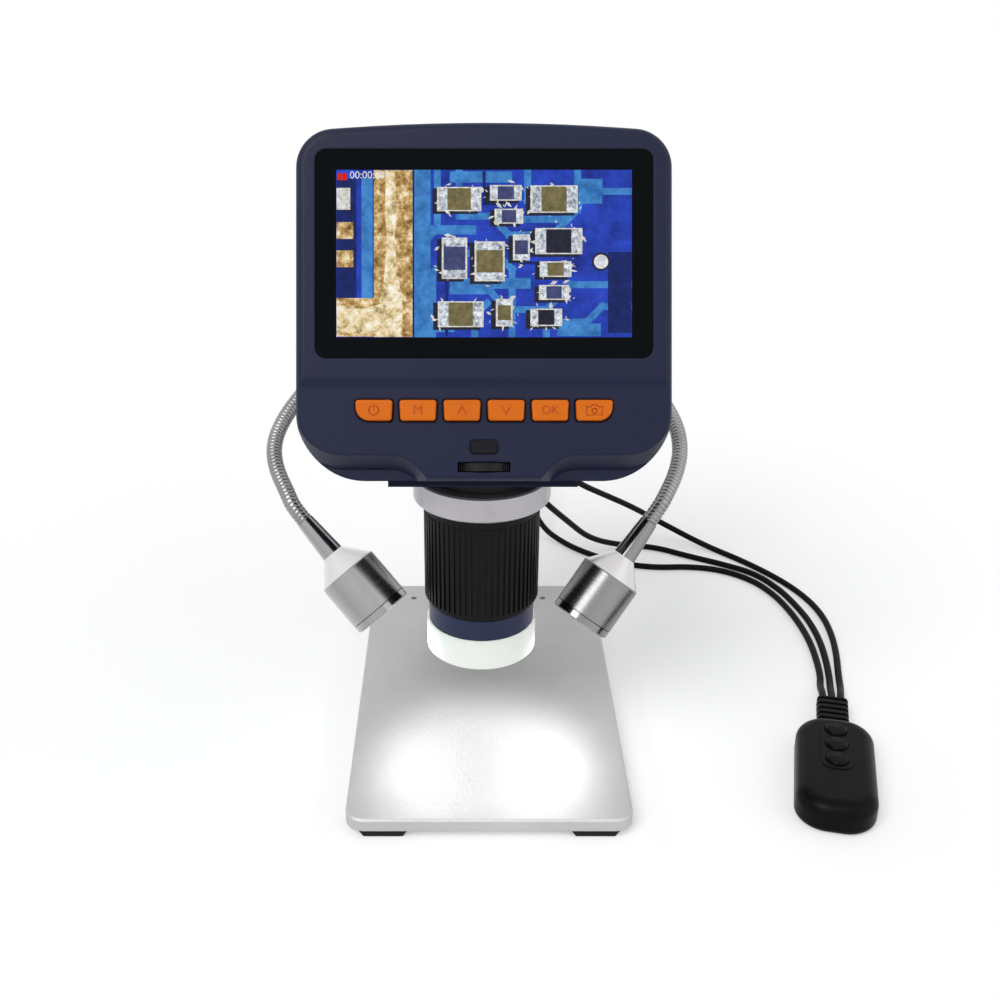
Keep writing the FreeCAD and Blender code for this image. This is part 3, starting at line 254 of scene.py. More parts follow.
# Painted reflections: brightness of the metal against the share of a turn round the lamp.
PAINTED_REFLECTION_BANDS = {
    "left": [(0.0, 0.30), (0.12, 0.62), (0.22, 0.42), (0.34, 0.12), (0.40, 0.52), (0.45, 0.26),
             (0.55, 0.66), (0.66, 0.55), (0.78, 0.16), (0.9, 0.45), (1.0, 0.30)],
    "right": [(0.0, 0.30), (0.12, 0.40), (0.22, 0.28), (0.34, 0.10), (0.44, 0.22), (0.55, 0.34),
              (0.66, 0.22), (0.78, 0.12), (0.9, 0.45), (1.0, 0.30)],
}
# Painted glow: the hood's emission stands in for the light of the LEDs shining through it.
HOOD_PAINTED_GLOW = glowing("clear_hood", (0.84, 0.87, 0.83), 0.17, 0.34, Transmission_Weight=0.35,
               IOR=1.3, Specular_IOR_Level=0.3)
LIT = glowing("lit_window", (1.0, 0.99, 0.95), 0.9, 0.4)
# Painted glow: the objective lens gives off a faint bluish light.
LENS_PAINTED_GLOW = glowing("coated_lens_painted_glow", (0.5, 0.55, 0.8), 0.02, 0.1, Transmission_Weight=0.5)

PAINT = {
    PLATE: ["base_plate"], COLUMN: ["column"], COLLAR: ["collar"],
    STEEL: ["rack", "pinion_shaft", "collar_screw", "column_screw_left",
            "column_screw_right", "lcd_panel"],
    BLACK: ["carriage", "barrel", "lens_cell", "dimmer_wheel", "side_socket", "lamp_mount",
            "knob_left", "knob_right"],
    FOCUS: ["focus_ring"], NAVY_RING: ["nose_ring"], NAVY: ["front_shell", "rear_shell"],
    GLASS: ["display_glass"], BOARD: ["main_board", "led_ring"], WINDOW: ["ir_window"],
    HOOD_PAINTED_GLOW: ["hood"], LENS_PAINTED_GLOW: ["objective_lens"], LIT: ["lamp_lens_left", "lamp_lens_right"],
    ORANGE: ["button_power", "button_menu", "button_up", "button_down", "button_ok",
             "button_camera"],
    CONTROL: ["controller_base", "controller_shell", "controller_key_a",
              "controller_key_b", "controller_key_c"],
    CORD: ["controller_boot"],
}
# Lamp shells, stems and bezels get their painted reflection bands here.
for side in ("left", "right"):
    shell = painted_reflection_metal("lamp_satin_painted_reflection_" + side, LAMP_AIM[side], LAMP_FRONT[side], PAINTED_REFLECTION_BANDS[side], 0.28,
                   cone=BEZEL_DEEP + SHELL_DEEP)
    polish = painted_reflection_metal("lamp_polish_painted_reflection_" + side, LAMP_AIM[side], LAMP_FRONT[side], PAINTED_REFLECTION_BANDS[side], 0.16)
    PAINT[shell] = ["lamp_shell_" + side]
    PAINT[polish] = ["lamp_stem_" + side, "lamp_bezel_" + side]
for material, names in PAINT.items():
    for name in names:
        mesh = NODES[name].data
        mesh.materials.clear()
        mesh.materials.append(material)
        mesh.polygons.foreach_set("material_index", [0] * len(mesh.polygons))


# Building blocks

def link(obj):
    """Put an object in the scene."""
    SCENE.collection.objects.link(obj)
    return obj


def mesh_object(name, bm, material, body, smooth=True):
    """Turn a bmesh into a piece that rides on a body."""
    mesh = bpy.data.meshes.new(name)
    bm.normal_update()
    bm.to_mesh(mesh)
    bm.free()
    if smooth:
        mesh.shade_smooth()
        mesh.set_sharp_from_angle(angle=SMOOTH_ANGLE)
    mesh.materials.append(material)
    obj = link(bpy.data.objects.new(name, mesh))
    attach(obj, body)
    return obj


def spline_curve(name, points, radius, resolution=6, sides=4):
    """Open NURBS spline of order 3 through the control points, given in millimetres."""
    curve = bpy.data.curves.new(name, "CURVE")
    curve.dimensions = "3D"
    curve.bevel_depth = radius * MM
    curve.bevel_resolution = sides
    curve.use_fill_caps = True
    spline = curve.splines.new("NURBS")
    spline.points.add(len(points) - 1)
    for point, spot in zip(points, spline.points):
        spot.co = (point[0] * MM, point[1] * MM, point[2] * MM, 1)
    spline.order_u = 3
    spline.use_endpoint_u = True
    spline.resolution_u = resolution
    return link(bpy.data.objects.new(name, curve))


# Cords: control points of each route, in millimetres
CORD_RADIUS = 1.5
FLOOR = 1.6
LEAD_RIGHT = [(12.0, 83.0, 150.0), (12.0, 83.0, 126.0), (16.6, 86.6, 98.0),
              (30.0, 97.4, 72.0), (47.6, 112.0, 52.0), (63.9, 126.6, 38.4),
              (79.8, 138.0, 26.3), (97.3, 150.0, 11.3), (118.8, 143.8, FLOOR),
              (135.6, 126.0, FLOOR), (149.6, 107.4, FLOOR), (158.8, 89.4, FLOOR),
              (163.1, 71.6, FLOOR), (163.1, 53.3, FLOOR), (160.8, 35.9, FLOOR),
              (157.3, 19.5, FLOOR), (155.12, 7.21, FLOOR), (152.12, -2.36, 5.0),
              (150.51, -9.17, 5.0)]
LEAD_LEFT = [(-2.0, 83.0, 150.0), (-2.0, 83.0, 126.0), (0.4, 84.0, 101.0),
             (13.0, 88.6, 74.0), (30.0, 99.0, 49.0), (44.4, 115.6, 29.4),
             (57.4, 131.4, 11.6), (74.6, 143.6, FLOOR), (92.6, 141.4, FLOOR),
             (108.6, 131.0, FLOOR), (125.0, 122.0, FLOOR), (139.6, 112.0, FLOOR),
             (148.4, 95.4, FLOOR), (152.7, 80.1, FLOOR), (155.6, 65.0, FLOOR),
             (156.2, 48.0, FLOOR), (155.0, 33.0, FLOOR), (153.0, 18.4, FLOOR),
             (150.91, 8.20, FLOOR), (148.61, -1.53, 5.0), (147.0, -8.34, 5.0)]
SUPPLY = [(143.5, -7.51, 5.0), (145.11, -0.70, 5.0), (146.71, 9.2, FLOOR),
          (149.0, 17.4, FLOOR), (150.6, 31.0, FLOOR), (151.4, 46.0, FLOOR),
          (150.6, 61.0, FLOOR), (148.4, 75.6, FLOOR), (144.6, 90.0, FLOOR),
          (137.4, 104.4, FLOOR), (124.1, 115.4, FLOOR), (108.0, 119.4, FLOOR),
          (90.0, 118.2, FLOOR), (72.6, 122.8, FLOOR), (56.3, 134.3, FLOOR),
          (45.1, 146.6, FLOOR), (34.6, 158.6, 4.6), (27.6, 169.6, 17.6),
          (25.0, 179.0, 22.6)]
COIL_TURNS, COIL_STEPS, COIL_RISE = 6, 12, 3.5
COIL_MIDDLE, COIL_TOP = (9.0, 190.0), 22.6
# The spline cuts inside its control points, so they lie further out than the turns.
COIL_REACH = 16.0 / (0.75 + 0.25 * math.cos(2 * math.pi / COIL_STEPS))
for step in range(COIL_TURNS * COIL_STEPS + 1):
    angle = 2 * math.pi * step / COIL_STEPS
    SUPPLY.append((COIL_MIDDLE[0] + COIL_REACH * math.cos(angle),
                   COIL_MIDDLE[1] + COIL_REACH * math.sin(angle),
                   COIL_TOP - COIL_RISE * step / COIL_STEPS))
SUPPLY += [(25.0, 199.0, FLOOR), (25.0, 212.0, 3.85), (25.0, 220.0, 3.85)]
PLUG_AT = Vector((25.0, 220.05, 3.85))


def plug():
    """Moulded grip with a waist, and a folded metal shell."""
    bm = bmesh.new()
    for start, end, wide, tall in ((0.0, 5.0, 9.0, 5.6), (5.0, 22.0, 15.0, 7.5)):
        box = bmesh.ops.create_cube(bm, size=1.0)["verts"]
        bmesh.ops.scale(bm, vec=(wide * MM, (end - start) * MM, tall * MM), verts=box)
        bmesh.ops.translate(bm, vec=(PLUG_AT + Vector((0, (start + end) / 2, 0))) * MM,
                            verts=box)
    bmesh.ops.bevel(bm, geom=bm.edges[:], offset=1.4 * MM, segments=3, affect="EDGES")
    grip = mesh_object("usb_plug_grip", bm, CORD, "stand")
    bm = bmesh.new()
    box = bmesh.ops.create_cube(bm, size=1.0)["verts"]
    bmesh.ops.scale(bm, vec=(12.0 * MM, 12.0 * MM, 4.5 * MM), verts=box)
    bmesh.ops.translate(bm, vec=(PLUG_AT + Vector((0, 28.0, 0))) * MM, verts=box)
    mouth = [face for face in bm.faces if face.normal.y > 0.9]
    bmesh.ops.inset_region(bm, faces=mouth, thickness=0.4 * MM)
    for vert in {vert for face in mouth for vert in face.verts}:
        vert.co.y -= 8.0 * MM
    shell = mesh_object("usb_plug_shell", bm, STEEL, "stand", smooth=False)
    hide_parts("usb_plug")
    return grip, shell


def cords():
    """Two lamp leads and the supply cord with its coil."""
    grip, shell = plug()
    box_pieces = [NODES[name] for name in (
        "controller_base", "controller_shell", "controller_key_a", "controller_key_b",
        "controller_key_c")]
    for name, points, length, pieces in (
            ("lamp_lead_right", LEAD_RIGHT, 0.379, box_pieces),
            ("lamp_lead_left", LEAD_LEFT, 0.387, [NODES["controller_boot"]])):
        lead = spline_curve(name + "_cord", points, CORD_RADIUS)
        lead.data.materials.append(CORD)
        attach(lead, "stand")
        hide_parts(name)
    supply = spline_curve("usb_cord", SUPPLY, CORD_RADIUS)
    supply.data.materials.append(CORD)
    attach(supply, "stand")
    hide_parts("usb_lead", "usb_coil")


cords()


FOOT_SLANT = 2.3


def foot(node):
    """Square rubber foot with slanted sides, upright at the front and back."""
    low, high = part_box(node)
    bm = bmesh.new()
    rings = []
    for level, inward in ((low.z, FOOT_SLANT * MM), (high.z, 0)):
        rings.append([bm.verts.new((x, y, level)) for x, y in (
            (low.x + inward, low.y), (high.x - inward, low.y),
            (high.x - inward, high.y), (low.x + inward, high.y))])
    bm.faces.new(list(reversed(rings[0])))
    bm.faces.new(rings[1])
    for at in range(4):
        after = (at + 1) % 4
        bm.faces.new((rings[0][at], rings[0][after], rings[1][after], rings[1][at]))
    piece = mesh_object(node + "_rubber", bm, RUBBER, "stand", smooth=False)
    soft = piece.modifiers.new("soft_edge", "BEVEL")
    soft.width = 0.5 * MM
    soft.segments = 3
    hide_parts(node)


for end in ("front", "rear"):
    for hand in ("left", "right"):
        foot("foot_" + end + "_" + hand)


# Goosenecks: wound hose with rounded turns, from the lamp's stem to the block on the column
HOSE_PITCH, HOSE_CREST, HOSE_GROOVE = 1.6, 3.12, 0.26
STEPS_PER_TURN = 8
GOOSE = {
    "left": [(-74.6, -7.2, 100.6), (-80.6, 3.2, 108.0), (-82.2, 14.2, 114.0),
             (-78.6, 26.4, 120.4), (-70.2, 38.4, 128.6), (-58.6, 49.8, 139.0),
             (-55.3, 63.0, 153.0), (-39.3, 83.0, 161.0), (-24.3, 83.0, 161.0)],
    "right": [(70.6, -8.6, 99.2), (76.6, 1.4, 106.0), (79.6, 12.8, 112.4),
              (78.2, 25.2, 119.4), (70.6, 38.4, 128.2), (58.8, 49.8, 139.0),
              (55.3, 63.0, 153.0), (39.3, 83.0, 161.0), (24.3, 83.0, 161.0)],
}
STEM_TOP = BEZEL_DEEP + SHELL_DEEP + CONE_DEEP + STEM_DEEP


def resampled(points, step):
    """Points at an even step along a polyline."""
    result, left = [points[0].copy()], step
    for start, end in zip(points, points[1:]):
        run = (end - start).length
        while run > 1e-9 and left <= run:
            start = start.lerp(end, left / run)
            result.append(start.copy())
            run = (end - start).length
            left = step
        left -= run
    return result


def curve_points(points):
    """Dense points of the smooth spline over control points in millimetres."""
    guide = spline_curve("guide", points, 0.0, resolution=24)
    guide.data.bevel_depth = 0
    mesh = bpy.data.meshes.new_from_object(guide)
    spots = [vert.co / MM for vert in mesh.vertices]
    bpy.data.meshes.remove(mesh)
    bpy.data.objects.remove(guide)
    return spots


def swept(bm, spots, radii, sides=20):
    """Tube through spots with one radius for each."""
    rings = []
    normal = None
    for index, spot in enumerate(spots):
        ahead = (spots[min(index + 1, len(spots) - 1)]
                 - spots[max(index - 1, 0)]).normalized()
        if normal is None:
            normal = ahead.orthogonal().normalized()
        normal = (normal - ahead * normal.dot(ahead)).normalized()
        across = ahead.cross(normal)
        ring = []
        for side in range(sides):
            angle = 2 * math.pi * side / sides
            ring.append(bm.verts.new((spot + (normal * math.cos(angle)
                                              + across * math.sin(angle)) * radii[index]) * MM))
        rings.append(ring)
    for first, second in zip(rings, rings[1:]):
        for side in range(sides):
            bm.faces.new((first[side], first[(side + 1) % sides],
                          second[(side + 1) % sides], second[side]))
    bm.faces.new(rings[0][::-1])
    bm.faces.new(rings[-1])


def gooseneck(side):
    """One lamp's hose, and the nut at its root."""
    aim = LAMP_AIM[side].normalized()
    front = LAMP_FRONT[side]
    points = [front - aim * STEM_TOP, front - aim * (STEM_TOP + 7)]
    points += [Vector(point) for point in GOOSE[side]]
    spots = resampled(curve_points(points), HOSE_PITCH / STEPS_PER_TURN)
    radii = []
    for index in range(len(spots)):
        phase = (index % STEPS_PER_TURN) / STEPS_PER_TURN
        radii.append(HOSE_CREST - HOSE_GROOVE * abs(2 * phase - 1) ** 4)
    bm = bmesh.new()
    swept(bm, spots, radii)
    hose = mesh_object("gooseneck_hose_" + side, bm, HOSE, "lamp_" + side)
    sign = -1 if side == "left" else 1
    bm = bmesh.new()
    spots = [Vector((sign * x, 83.0, 161.0)) for x in (22.4, 22.9, 24.5, 26.0, 27.8, 28.3)]
    swept(bm, spots, [4.4, 4.9, 4.9, 4.9, 4.9, 4.3], 6)
    mesh_object("gooseneck_nut_" + side, bm, STEEL, "lamp_" + side,
                smooth=False)
    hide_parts("gooseneck_" + side)


gooseneck("left")
gooseneck("right")


# Head details: face coordinates are millimetres right, up the face and out of it
TILT = math.radians(25.1)
FACE = (Matrix.Translation((0, -50.7 * MM, 206.1 * MM))
        @ Matrix.Rotation(math.pi / 2 - TILT, 4, "X"))


def face_point(right, up, out):
    """Place on the head from its face coordinates."""
    return FACE @ (Vector((right, up, out)) * MM)


def emitter(name, color, mottle=None, scale=400, glare=None):
    """Lit part of the picture under a glossy surface. The noise runs from a dark form of the
    colour to mottle, and on to glare where that is given."""
    material, tree, shader = principled(name, (0.01, 0.01, 0.01), 0.12,
                                        Specular_IOR_Level=0.06)
    fine = noise(tree, scale, 8.0, rough=0.75 if glare else 0.7)
    ramp = tree.nodes.new("ShaderNodeValToRGB")
    stops = [(0.3, shade(color, 0.55)), (0.7, mottle or shade(color, 1.5))]
    if glare:
        stops = [(0.36, shade(color, 0.45)), (0.5, mottle), (0.62, glare)]
        ramp.color_ramp.elements.new(0.5)
    for element, (place, shown) in zip(ramp.color_ramp.elements, stops):
        element.position = place
        element.color = (*shown, 1)
    tree.links.new(fine, ramp.inputs["Fac"])
    tree.links.new(ramp.outputs["Color"], shader.inputs["Emission Color"])
    shader.inputs["Emission Strength"].default_value = 1.0
    return material


SHOWN = {
    "blue": emitter("picture_blue", (0.008, 0.03, 0.36), (0.02, 0.07, 0.62), 130),
    "track": emitter("picture_track", (0.02, 0.17, 0.55), (0.07, 0.30, 0.72), 220),
    "gap": emitter("picture_gap", (0.003, 0.01, 0.10), (0.004, 0.02, 0.18), 300),
    "gold": emitter("picture_gold", (0.20, 0.10, 0.02), (0.50, 0.30, 0.09), 330,
                    (0.92, 0.80, 0.52)),
    "cream": emitter("picture_cream", (0.55, 0.38, 0.14), (0.78, 0.62, 0.34), 300,
                     (0.95, 0.93, 0.82)),
    "pale": emitter("picture_pale", (0.60, 0.58, 0.50), (0.95, 0.94, 0.88), 900),
    "tin": emitter("picture_tin", (0.16, 0.18, 0.24), (0.50, 0.55, 0.62), 650,
                   (0.95, 0.97, 1.0)),
    "tan": emitter("picture_tan", (0.15, 0.12, 0.045), (0.24, 0.20, 0.09), 500),
    "slate": emitter("picture_slate", (0.04, 0.05, 0.16), (0.07, 0.08, 0.22), 500),
    "dark": emitter("picture_dark", (0.006, 0.006, 0.02), (0.02, 0.02, 0.05), 500),
    "white": emitter("picture_white", (0.75, 0.78, 0.85), (0.95, 0.95, 1.0), 500),
    "red": emitter("picture_red", (0.55, 0.01, 0.01)),
}


def picture_mesh(name, kind, quads, level):
    """Flat patches of one colour on the screen; each is a list of (x, y) corners."""
    bm = bmesh.new()
    for corners in quads:
        bm.faces.new([bm.verts.new(face_point(x, y, level)) for x, y in corners])
    return mesh_object(name, bm, SHOWN[kind], "head", smooth=False)


def patch(x, y, wide, tall):
    """Corners of a rectangle round its middle."""
    return [(x - wide / 2, y - tall / 2), (x + wide / 2, y - tall / 2),
            (x + wide / 2, y + tall / 2), (x - wide / 2, y + tall / 2)]


def disc(x, y, radius, steps=20):
    """Corners of a round patch."""
    return [(x + radius * math.cos(2 * math.pi * step / steps),
             y + radius * math.sin(2 * math.pi * step / steps)) for step in range(steps)]


def stroke(points, wide):
    """Quads along a polyline of the face plane."""
    quads = []
    for (ax, ay), (bx, by) in zip(points, points[1:]):
        length = math.hypot(bx - ax, by - ay)
        nx, ny = -(by - ay) / length * wide / 2, (bx - ax) / length * wide / 2
        ex, ey = (bx - ax) / length * wide / 2, (by - ay) / length * wide / 2
        quads.append([(ax - ex + nx, ay - ey + ny), (ax - ex - nx, ay - ey - ny),
                      (bx + ex - nx, by + ey - ny), (bx + ex + nx, by + ey + ny)])
    return quads


SHARD_COUNT = 130


def picture():
    """A made-up enlarged circuit board: tracks, pads and two-ended components."""
    half_wide, half_tall = 47.5, 26.9
    picture_mesh("picture_ground", "blue", [patch(0, 0, 2 * half_wide, 2 * half_tall)], -0.10)
    tracks = [patch(-19.8, 0, 5.2, 2 * half_tall), patch(-37.6, 3.5, 3.6, 42.0),
              patch(-1.0, 24.6, 20.0, 3.6), patch(-10.0, 7.6, 15.0, 3.0),
              patch(2.0, -9.6, 26.0, 3.4), patch(33.5, 20.0, 9.0, 8.0),
              patch(-13.6, -23.0, 8.0, 4.5), patch(30.5, -24.5, 14.0, 4.0)]
    for points in ([(-20, -26), (-20, 3), (-15, 8), (-15, 26)],
                   [(-16.5, -26), (-16.5, -6), (-9, 0), (4, 0), (9, -5), (9, -26)],
                   [(-8, 26), (-8, 12), (2, 12), (8, 6), (22, 6), (30, 14), (30, 26)],
                   [(47, 20), (34, 20), (26, 11), (12, 11)],
                   [(-10, -12), (2, -12), (7, -18), (20, -18), (28, -10), (47, -10)],
                   [(20, -26), (20, -22), (33, -22), (38, -17), (47, -17)],
                   [(14, 26), (14, 17), (20, 12)], [(-3, -26), (-3, -20), (1, -16)]):
        tracks += stroke(points, 2.2)
    tracks = [[(max(-half_wide, min(half_wide, x)), max(-half_tall, min(half_tall, y)))
               for x, y in quad] for quad in tracks]
    picture_mesh("picture_tracks", "track", tracks, -0.08)
    gaps = [patch(-44.2, 3, 6.4, 42.0), patch(43.6, -12.5, 7.6, 26.0), patch(-22.8, 0, 0.7, 53.6)]
    gaps += stroke([(-12, -26), (-12, -3), (-5, 3), (6, 3), (12, -3), (18, -3)], 1.0)
    gaps += stroke([(0, 26), (0, 16), (6, 16), (12, 21)], 1.0)
    picture_mesh("picture_gaps", "gap", gaps, -0.07)
    gold = [patch(-29.2, 0, 12.4, 53.6), patch(-41.2, -20.5, 12.4, 12.4)]
    gold += [patch(-44.7, 7.4 - 9.1 * row, 5.4, 5.4) for row in range(2)]
    picture_mesh("picture_gold", "gold", gold, -0.06)
    sheen = [(-26.8, -32.8, -26.4), (-16.0, -33.2, -26.2), (-7.0, -32.0, -27.6),
             (4.0, -31.2, -28.8), (14.0, -31.8, -28.0), (26.8, -31.6, -28.8)]
    glints = [[(left, up), (right, up), (after_right, above), (after_left, above)]
              for (up, left, right), (above, after_left, after_right) in zip(sheen, sheen[1:])]
    glints.append([(-47.4, -25.4), (-33.0, -25.8), (-33.2, -16.2), (-40.0, -17.8),
                   (-47.4, -16.4)])
    picture_mesh("picture_glints", "cream", glints, -0.057)
    picture_mesh("picture_pad", "pale", [patch(-45.2, 17.6, 4.4, 7.0)], -0.055)
    parts = ([(-8, 17.5, 13, 7, 0, "tan"), (22.5, 17.5, 14, 8, 0, "tan"),
              (-9.5, -1.5, 7, 12.5, 1, "slate"), (1.8, -2.5, 8.5, 12.0, 1, "tan"),
              (24.0, 4.0, 14, 7.6, 0, "dark"), (-7.5, -19.5, 13.5, 7.5, 0, "tan"),
              (7.0, 19.5, 9, 4.2, 0, "slate"), (8.0, 12.0, 8, 4.0, 0, "slate"),
              (12.0, 2.0, 4.2, 7.5, 1, "slate"), (23.0, -5.0, 9, 4.2, 0, "tan"),
              (22.5, -12.5, 8.5, 4.0, 0, "slate"), (6.5, -19.0, 4.2, 8.0, 1, "tan"),
              (20.0, -20.5, 9, 4.8, 0, "dark")])
    ends, solder, shade_under = [], [], []
    cores = {"tan": [], "slate": [], "dark": []}
    for x, y, wide, tall, upright, kind in parts:
        solder.append(patch(x, y, wide + 1.2, tall + 0.8))
        shade_under.append(patch(x - 1.3, y - 0.7, wide + 1.6, tall + 1.2))
        ends.append(patch(x, y, wide, tall))
        cores[kind].append(patch(x, y, wide * (1.0 if upright else 0.58),
                                 tall * (0.6 if upright else 1.0)))
    shards = []
    for index in range(SHARD_COUNT):
        x, y, wide, tall = parts[index % len(parts)][:4]
        turn = random.uniform(0, 2 * math.pi)
        x += math.cos(turn) * (wide / 2 + random.uniform(0.3, 3.4))
        y += math.sin(turn) * (tall / 2 + random.uniform(0.3, 2.6))
        lean, length = random.uniform(0, math.pi), random.uniform(0.35, 1.5)
        slim = length * random.uniform(0.2, 0.5)
        if abs(x) < 45.5 and abs(y) < 25.0:
            shards.append([(x + length * math.cos(lean), y + length * math.sin(lean)),
                           (x - slim * math.sin(lean), y + slim * math.cos(lean)),
                           (x - length * math.cos(lean), y - length * math.sin(lean)),
                           (x + slim * math.sin(lean), y - slim * math.cos(lean))])
    picture_mesh("picture_shards", "pale", shards, -0.048)
    picture_mesh("picture_shade", "dark", shade_under, -0.053)
    picture_mesh("picture_solder", "pale", solder, -0.05)
    picture_mesh("picture_ends", "tin", ends, -0.045)
    for kind, quads in cores.items():
        picture_mesh("picture_cores_" + kind, kind, quads, -0.04)
    picture_mesh("picture_hole_rim", "dark", [disc(37.6, -2.6, 3.0)], -0.042)
    picture_mesh("picture_hole", "white", [disc(37.6, -2.6, 2.3)], -0.04)
    picture_mesh("picture_record", "red", [patch(-45.6, 24.7, 3.2, 2.2)], -0.035)
    label("picture_time", "00:00:00", -43.2, 23.5, -0.03, 3.3, SHOWN["white"], "head",
          left=True)


def label(name, text, right, up, out, size, material, body, left=False, depth=0.0):
    """Generic lettering as a mesh on the face plane."""
    curve = bpy.data.curves.new(name, "FONT")
    curve.body = text
    curve.size = size * MM
    curve.align_x = "LEFT" if left else "CENTER"
    curve.align_y = "BOTTOM" if left else "CENTER"
    curve.extrude = depth * MM
    guide = link(bpy.data.objects.new(name + "_text", curve))
    mesh = bpy.data.meshes.new_from_object(guide)
    bpy.data.objects.remove(guide)
    mesh.transform(FACE @ Matrix.Translation(Vector((right, up, out)) * MM))
    mesh.materials.clear()
    mesh.materials.append(material)
    obj = link(bpy.data.objects.new(name, mesh))
    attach(obj, body)
    return obj


def raised(name, quads, low, high, material, body):
    """Prisms over quads of the face plane, for small raised marks."""
    bm = bmesh.new()
    for corners in quads:
        lower = [bm.verts.new(face_point(x, y, low)) for x, y in corners]
        upper = [bm.verts.new(face_point(x, y, high)) for x, y in corners]
        count = len(corners)
        bm.faces.new(upper)
        bm.faces.new(lower[::-1])
        for index in range(count):
            after = (index + 1) % count
            bm.faces.new((lower[index], lower[after], upper[after], upper[index]))
    bmesh.ops.recalc_face_normals(bm, faces=bm.faces[:])
    return mesh_object(name, bm, material, body, smooth=False)


KEY_PITCH, KEY_LINE, KEY_TOP = 14.15, -50.4, 1.2


def arc(x, y, radius, start, end, steps=14):
    """Points on an arc, with its ends in degrees."""
    return [(x + radius * math.cos(math.radians(start + (end - start) * step / steps)),
             y + radius * math.sin(math.radians(start + (end - start) * step / steps)))
            for step in range(steps + 1)]


def key_marks():
    """Raised signs on the six head keys."""
    low, high = KEY_TOP - 0.05, KEY_TOP + 0.12
    power, menu, up, down, accept, camera_key = ((index - 2.5) * KEY_PITCH
                                                 for index in range(6))
    y = KEY_LINE
    outline = [(-2.5, -1.5), (2.5, -1.5), (2.5, 1.1), (1.3, 1.1), (0.8, 1.7), (-0.8, 1.7),
               (-1.3, 1.1), (-2.5, 1.1), (-2.5, -1.5)]
    strokes = {
        "power": stroke(arc(power, y, 1.55, 120, 420), 0.34)
                 + stroke([(power, y + 0.2), (power, y + 2.0)], 0.34),
        "up": stroke([(up - 1.3, y - 1.1), (up, y + 1.2), (up + 1.3, y - 1.1)], 0.36),
        "down": stroke([(down - 1.3, y + 1.1), (down, y - 1.2), (down + 1.3, y + 1.1)], 0.36),
        "camera": stroke([(camera_key + right, y + above) for right, above in outline], 0.3)
                  + stroke(arc(camera_key, y - 0.2, 0.8, 0, 360, 16), 0.28),
    }
    for key, quads in strokes.items():
        raised("mark_" + key, quads, low, high, ORANGE_DARK, "key_" + key)
    for key, text, x, size in (("menu", "M", menu, 4.3), ("ok", "OK", accept, 3.8)):
        label("mark_" + key, text, x, y, KEY_TOP + 0.03, size, ORANGE_DARK, "key_" + key,
              depth=0.1)


picture()
key_marks()


def wheel_ribs():
    """Fine ribs round the dimmer wheel's rim."""
    bm = bmesh.new()
    radius, count, line, deep = 9.5, 64, -68.6, -9.0
    for index in range(count):
        angle = 2 * math.pi * index / count
        out = Vector((math.sin(angle), 0, math.cos(angle)))
        side = Vector((math.cos(angle), 0, -math.sin(angle)))
        corners = []
        for up in (-1.3, 1.3):
            for reach, half in ((radius - 0.05, 0.32), (radius + 0.22, 0.2)):
                for turn in (-1, 1):
                    spot = out * reach + side * half * turn
                    corners.append(bm.verts.new(face_point(spot.x, line + up, deep + spot.z)))
        bmesh.ops.convex_hull(bm, input=corners)
    mesh_object("dimmer_ribs", bm, BLACK, "dimmer", smooth=False)


wheel_ribs()


# Controller: shallow marks on the keys
BOX = (Matrix.Translation(Vector((135.5, -57.0, 0)) * MM)
       @ Matrix.Rotation(-math.radians(13.3), 4, "Z"))
MARK_LEVELS = (14.0, 14.42)


def controller_marks():
    """Signs for power, more and less."""
    signs = {
        "a": stroke(arc(0, 18.8, 1.5, 120, 420), 0.35) + stroke([(0, 19.0), (0, 20.7)], 0.35),
        "b": stroke([(-1.5, 9.0), (1.5, 9.0)], 0.4) + stroke([(0, 7.5), (0, 10.5)], 0.4),
        "c": stroke([(-1.5, -0.8), (1.5, -0.8)], 0.4),
    }
    for name, quads in signs.items():
        bm = bmesh.new()
        for corners in quads:
            lower, upper = ([bm.verts.new(BOX @ (Vector((x, up, level)) * MM))
                             for x, up in corners] for level in MARK_LEVELS)
            bm.faces.new(upper)
            for index in range(4):
                after = (index + 1) % 4
                bm.faces.new((lower[index], lower[after], upper[after], upper[index]))
        mesh_object("light_mark_" + name, bm, BLACK, "light_key_" + name,
                    smooth=False)


controller_marks()


# Studio

def seen_rays(tree):
    """1 for rays that show a surface as it looks: camera, mirror and see-through rays."""
    path = tree.nodes.new("ShaderNodeLightPath")
    total = path.outputs["Is Camera Ray"]
    for name in ("Is Glossy Ray", "Is Transmission Ray"):
        either = tree.nodes.new("ShaderNodeMath")
        either.operation = "MAXIMUM"
        tree.links.new(total, either.inputs[0])
        tree.links.new(path.outputs[name], either.inputs[1])
        total = either.outputs["Value"]
    return total


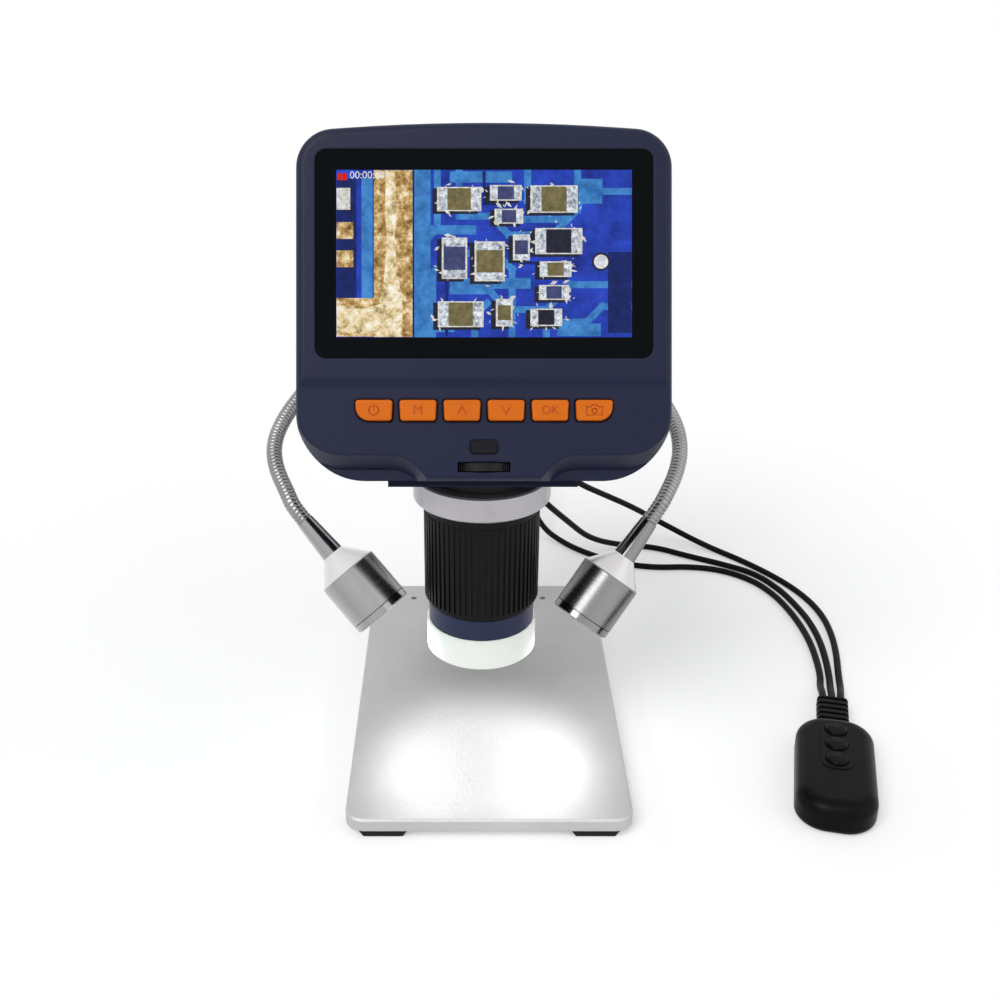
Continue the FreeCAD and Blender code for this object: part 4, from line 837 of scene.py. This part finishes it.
def studio_floor():
    """Pale round floor that looks white where nothing shades it."""
    radius, steps = 1.6, 96
    mesh = bpy.data.meshes.new("floor")
    rim = [(radius * math.cos(2 * math.pi * step / steps),
            radius * math.sin(2 * math.pi * step / steps), 0) for step in range(steps)]
    mesh.from_pydata(rim, [], [list(range(steps))])
    floor = link(bpy.data.objects.new("floor", mesh))
    material, tree, shader = principled("floor_white", (0.80, 0.80, 0.80), 0.9,
                                        Specular_IOR_Level=0.0)
    glow = tree.nodes.new("ShaderNodeEmission")
    glow.inputs["Color"].default_value = (1, 1, 1, 1)
    glow.inputs["Strength"].default_value = 0.35
    add = tree.nodes.new("ShaderNodeAddShader")
    mix = tree.nodes.new("ShaderNodeMixShader")
    tree.links.new(shader.outputs["BSDF"], add.inputs[0])
    tree.links.new(glow.outputs["Emission"], add.inputs[1])
    tree.links.new(seen_rays(tree), mix.inputs["Fac"])
    tree.links.new(shader.outputs["BSDF"], mix.inputs[1])
    tree.links.new(add.outputs["Shader"], mix.inputs[2])
    tree.links.new(mix.outputs["Shader"], tree.nodes["Material Output"].inputs["Surface"])
    mesh.materials.append(material)


def studio_world():
    """Soft pale world that shows white behind the floor."""
    world = bpy.data.worlds.new("world")
    world.use_nodes = True
    SCENE.world = world
    tree = world.node_tree
    back = tree.nodes["Background"]
    back.inputs["Color"].default_value = (0.96, 0.98, 1.0, 1)
    back.inputs["Strength"].default_value = 0.42
    white = tree.nodes.new("ShaderNodeBackground")
    white.inputs["Color"].default_value = (1, 1, 1, 1)
    white.inputs["Strength"].default_value = 1.0
    mix = tree.nodes.new("ShaderNodeMixShader")
    tree.links.new(seen_rays(tree), mix.inputs["Fac"])
    tree.links.new(back.outputs["Background"], mix.inputs[1])
    tree.links.new(white.outputs["Background"], mix.inputs[2])
    tree.links.new(mix.outputs["Shader"], tree.nodes["World Output"].inputs["Surface"])


def studio_lights():
    """A wide soft key from the upper left, a weak fill, and the two lamps' own beams."""
    for name, toward, strength, spread_angle in (
            ("key_light", (-0.40, -0.55, 0.73), 1.5, 35),
            ("fill_light", (0.75, -0.45, 0.50), 0.45, 60)):
        data = bpy.data.lights.new(name, "SUN")
        data.energy = strength
        data.angle = math.radians(spread_angle)
        lamp = link(bpy.data.objects.new(name, data))
        lamp.location = Vector(toward)
        lamp.rotation_euler = Vector(toward).to_track_quat("Z", "Y").to_euler()
    for side in ("left", "right"):
        data = bpy.data.lights.new("lamp_beam_" + side, "SPOT")
        data.energy = 0.14
        data.spot_size = math.radians(120)
        data.spot_blend = 1.0
        data.shadow_soft_size = 0.009
        lamp = link(bpy.data.objects.new("lamp_beam_" + side, data))
        lamp.location = (LAMP_FRONT[side] + LAMP_AIM[side] * 1.5) * MM
        lamp.rotation_euler = LAMP_AIM[side].to_track_quat("-Z", "Y").to_euler()


studio_floor()
studio_world()
studio_lights()
for name in NODES:
    mesh = NODES[name].data
    mesh.shade_smooth()
    mesh.set_sharp_from_angle(angle=SMOOTH_ANGLE)

SCENE.view_settings.view_transform = "Standard"
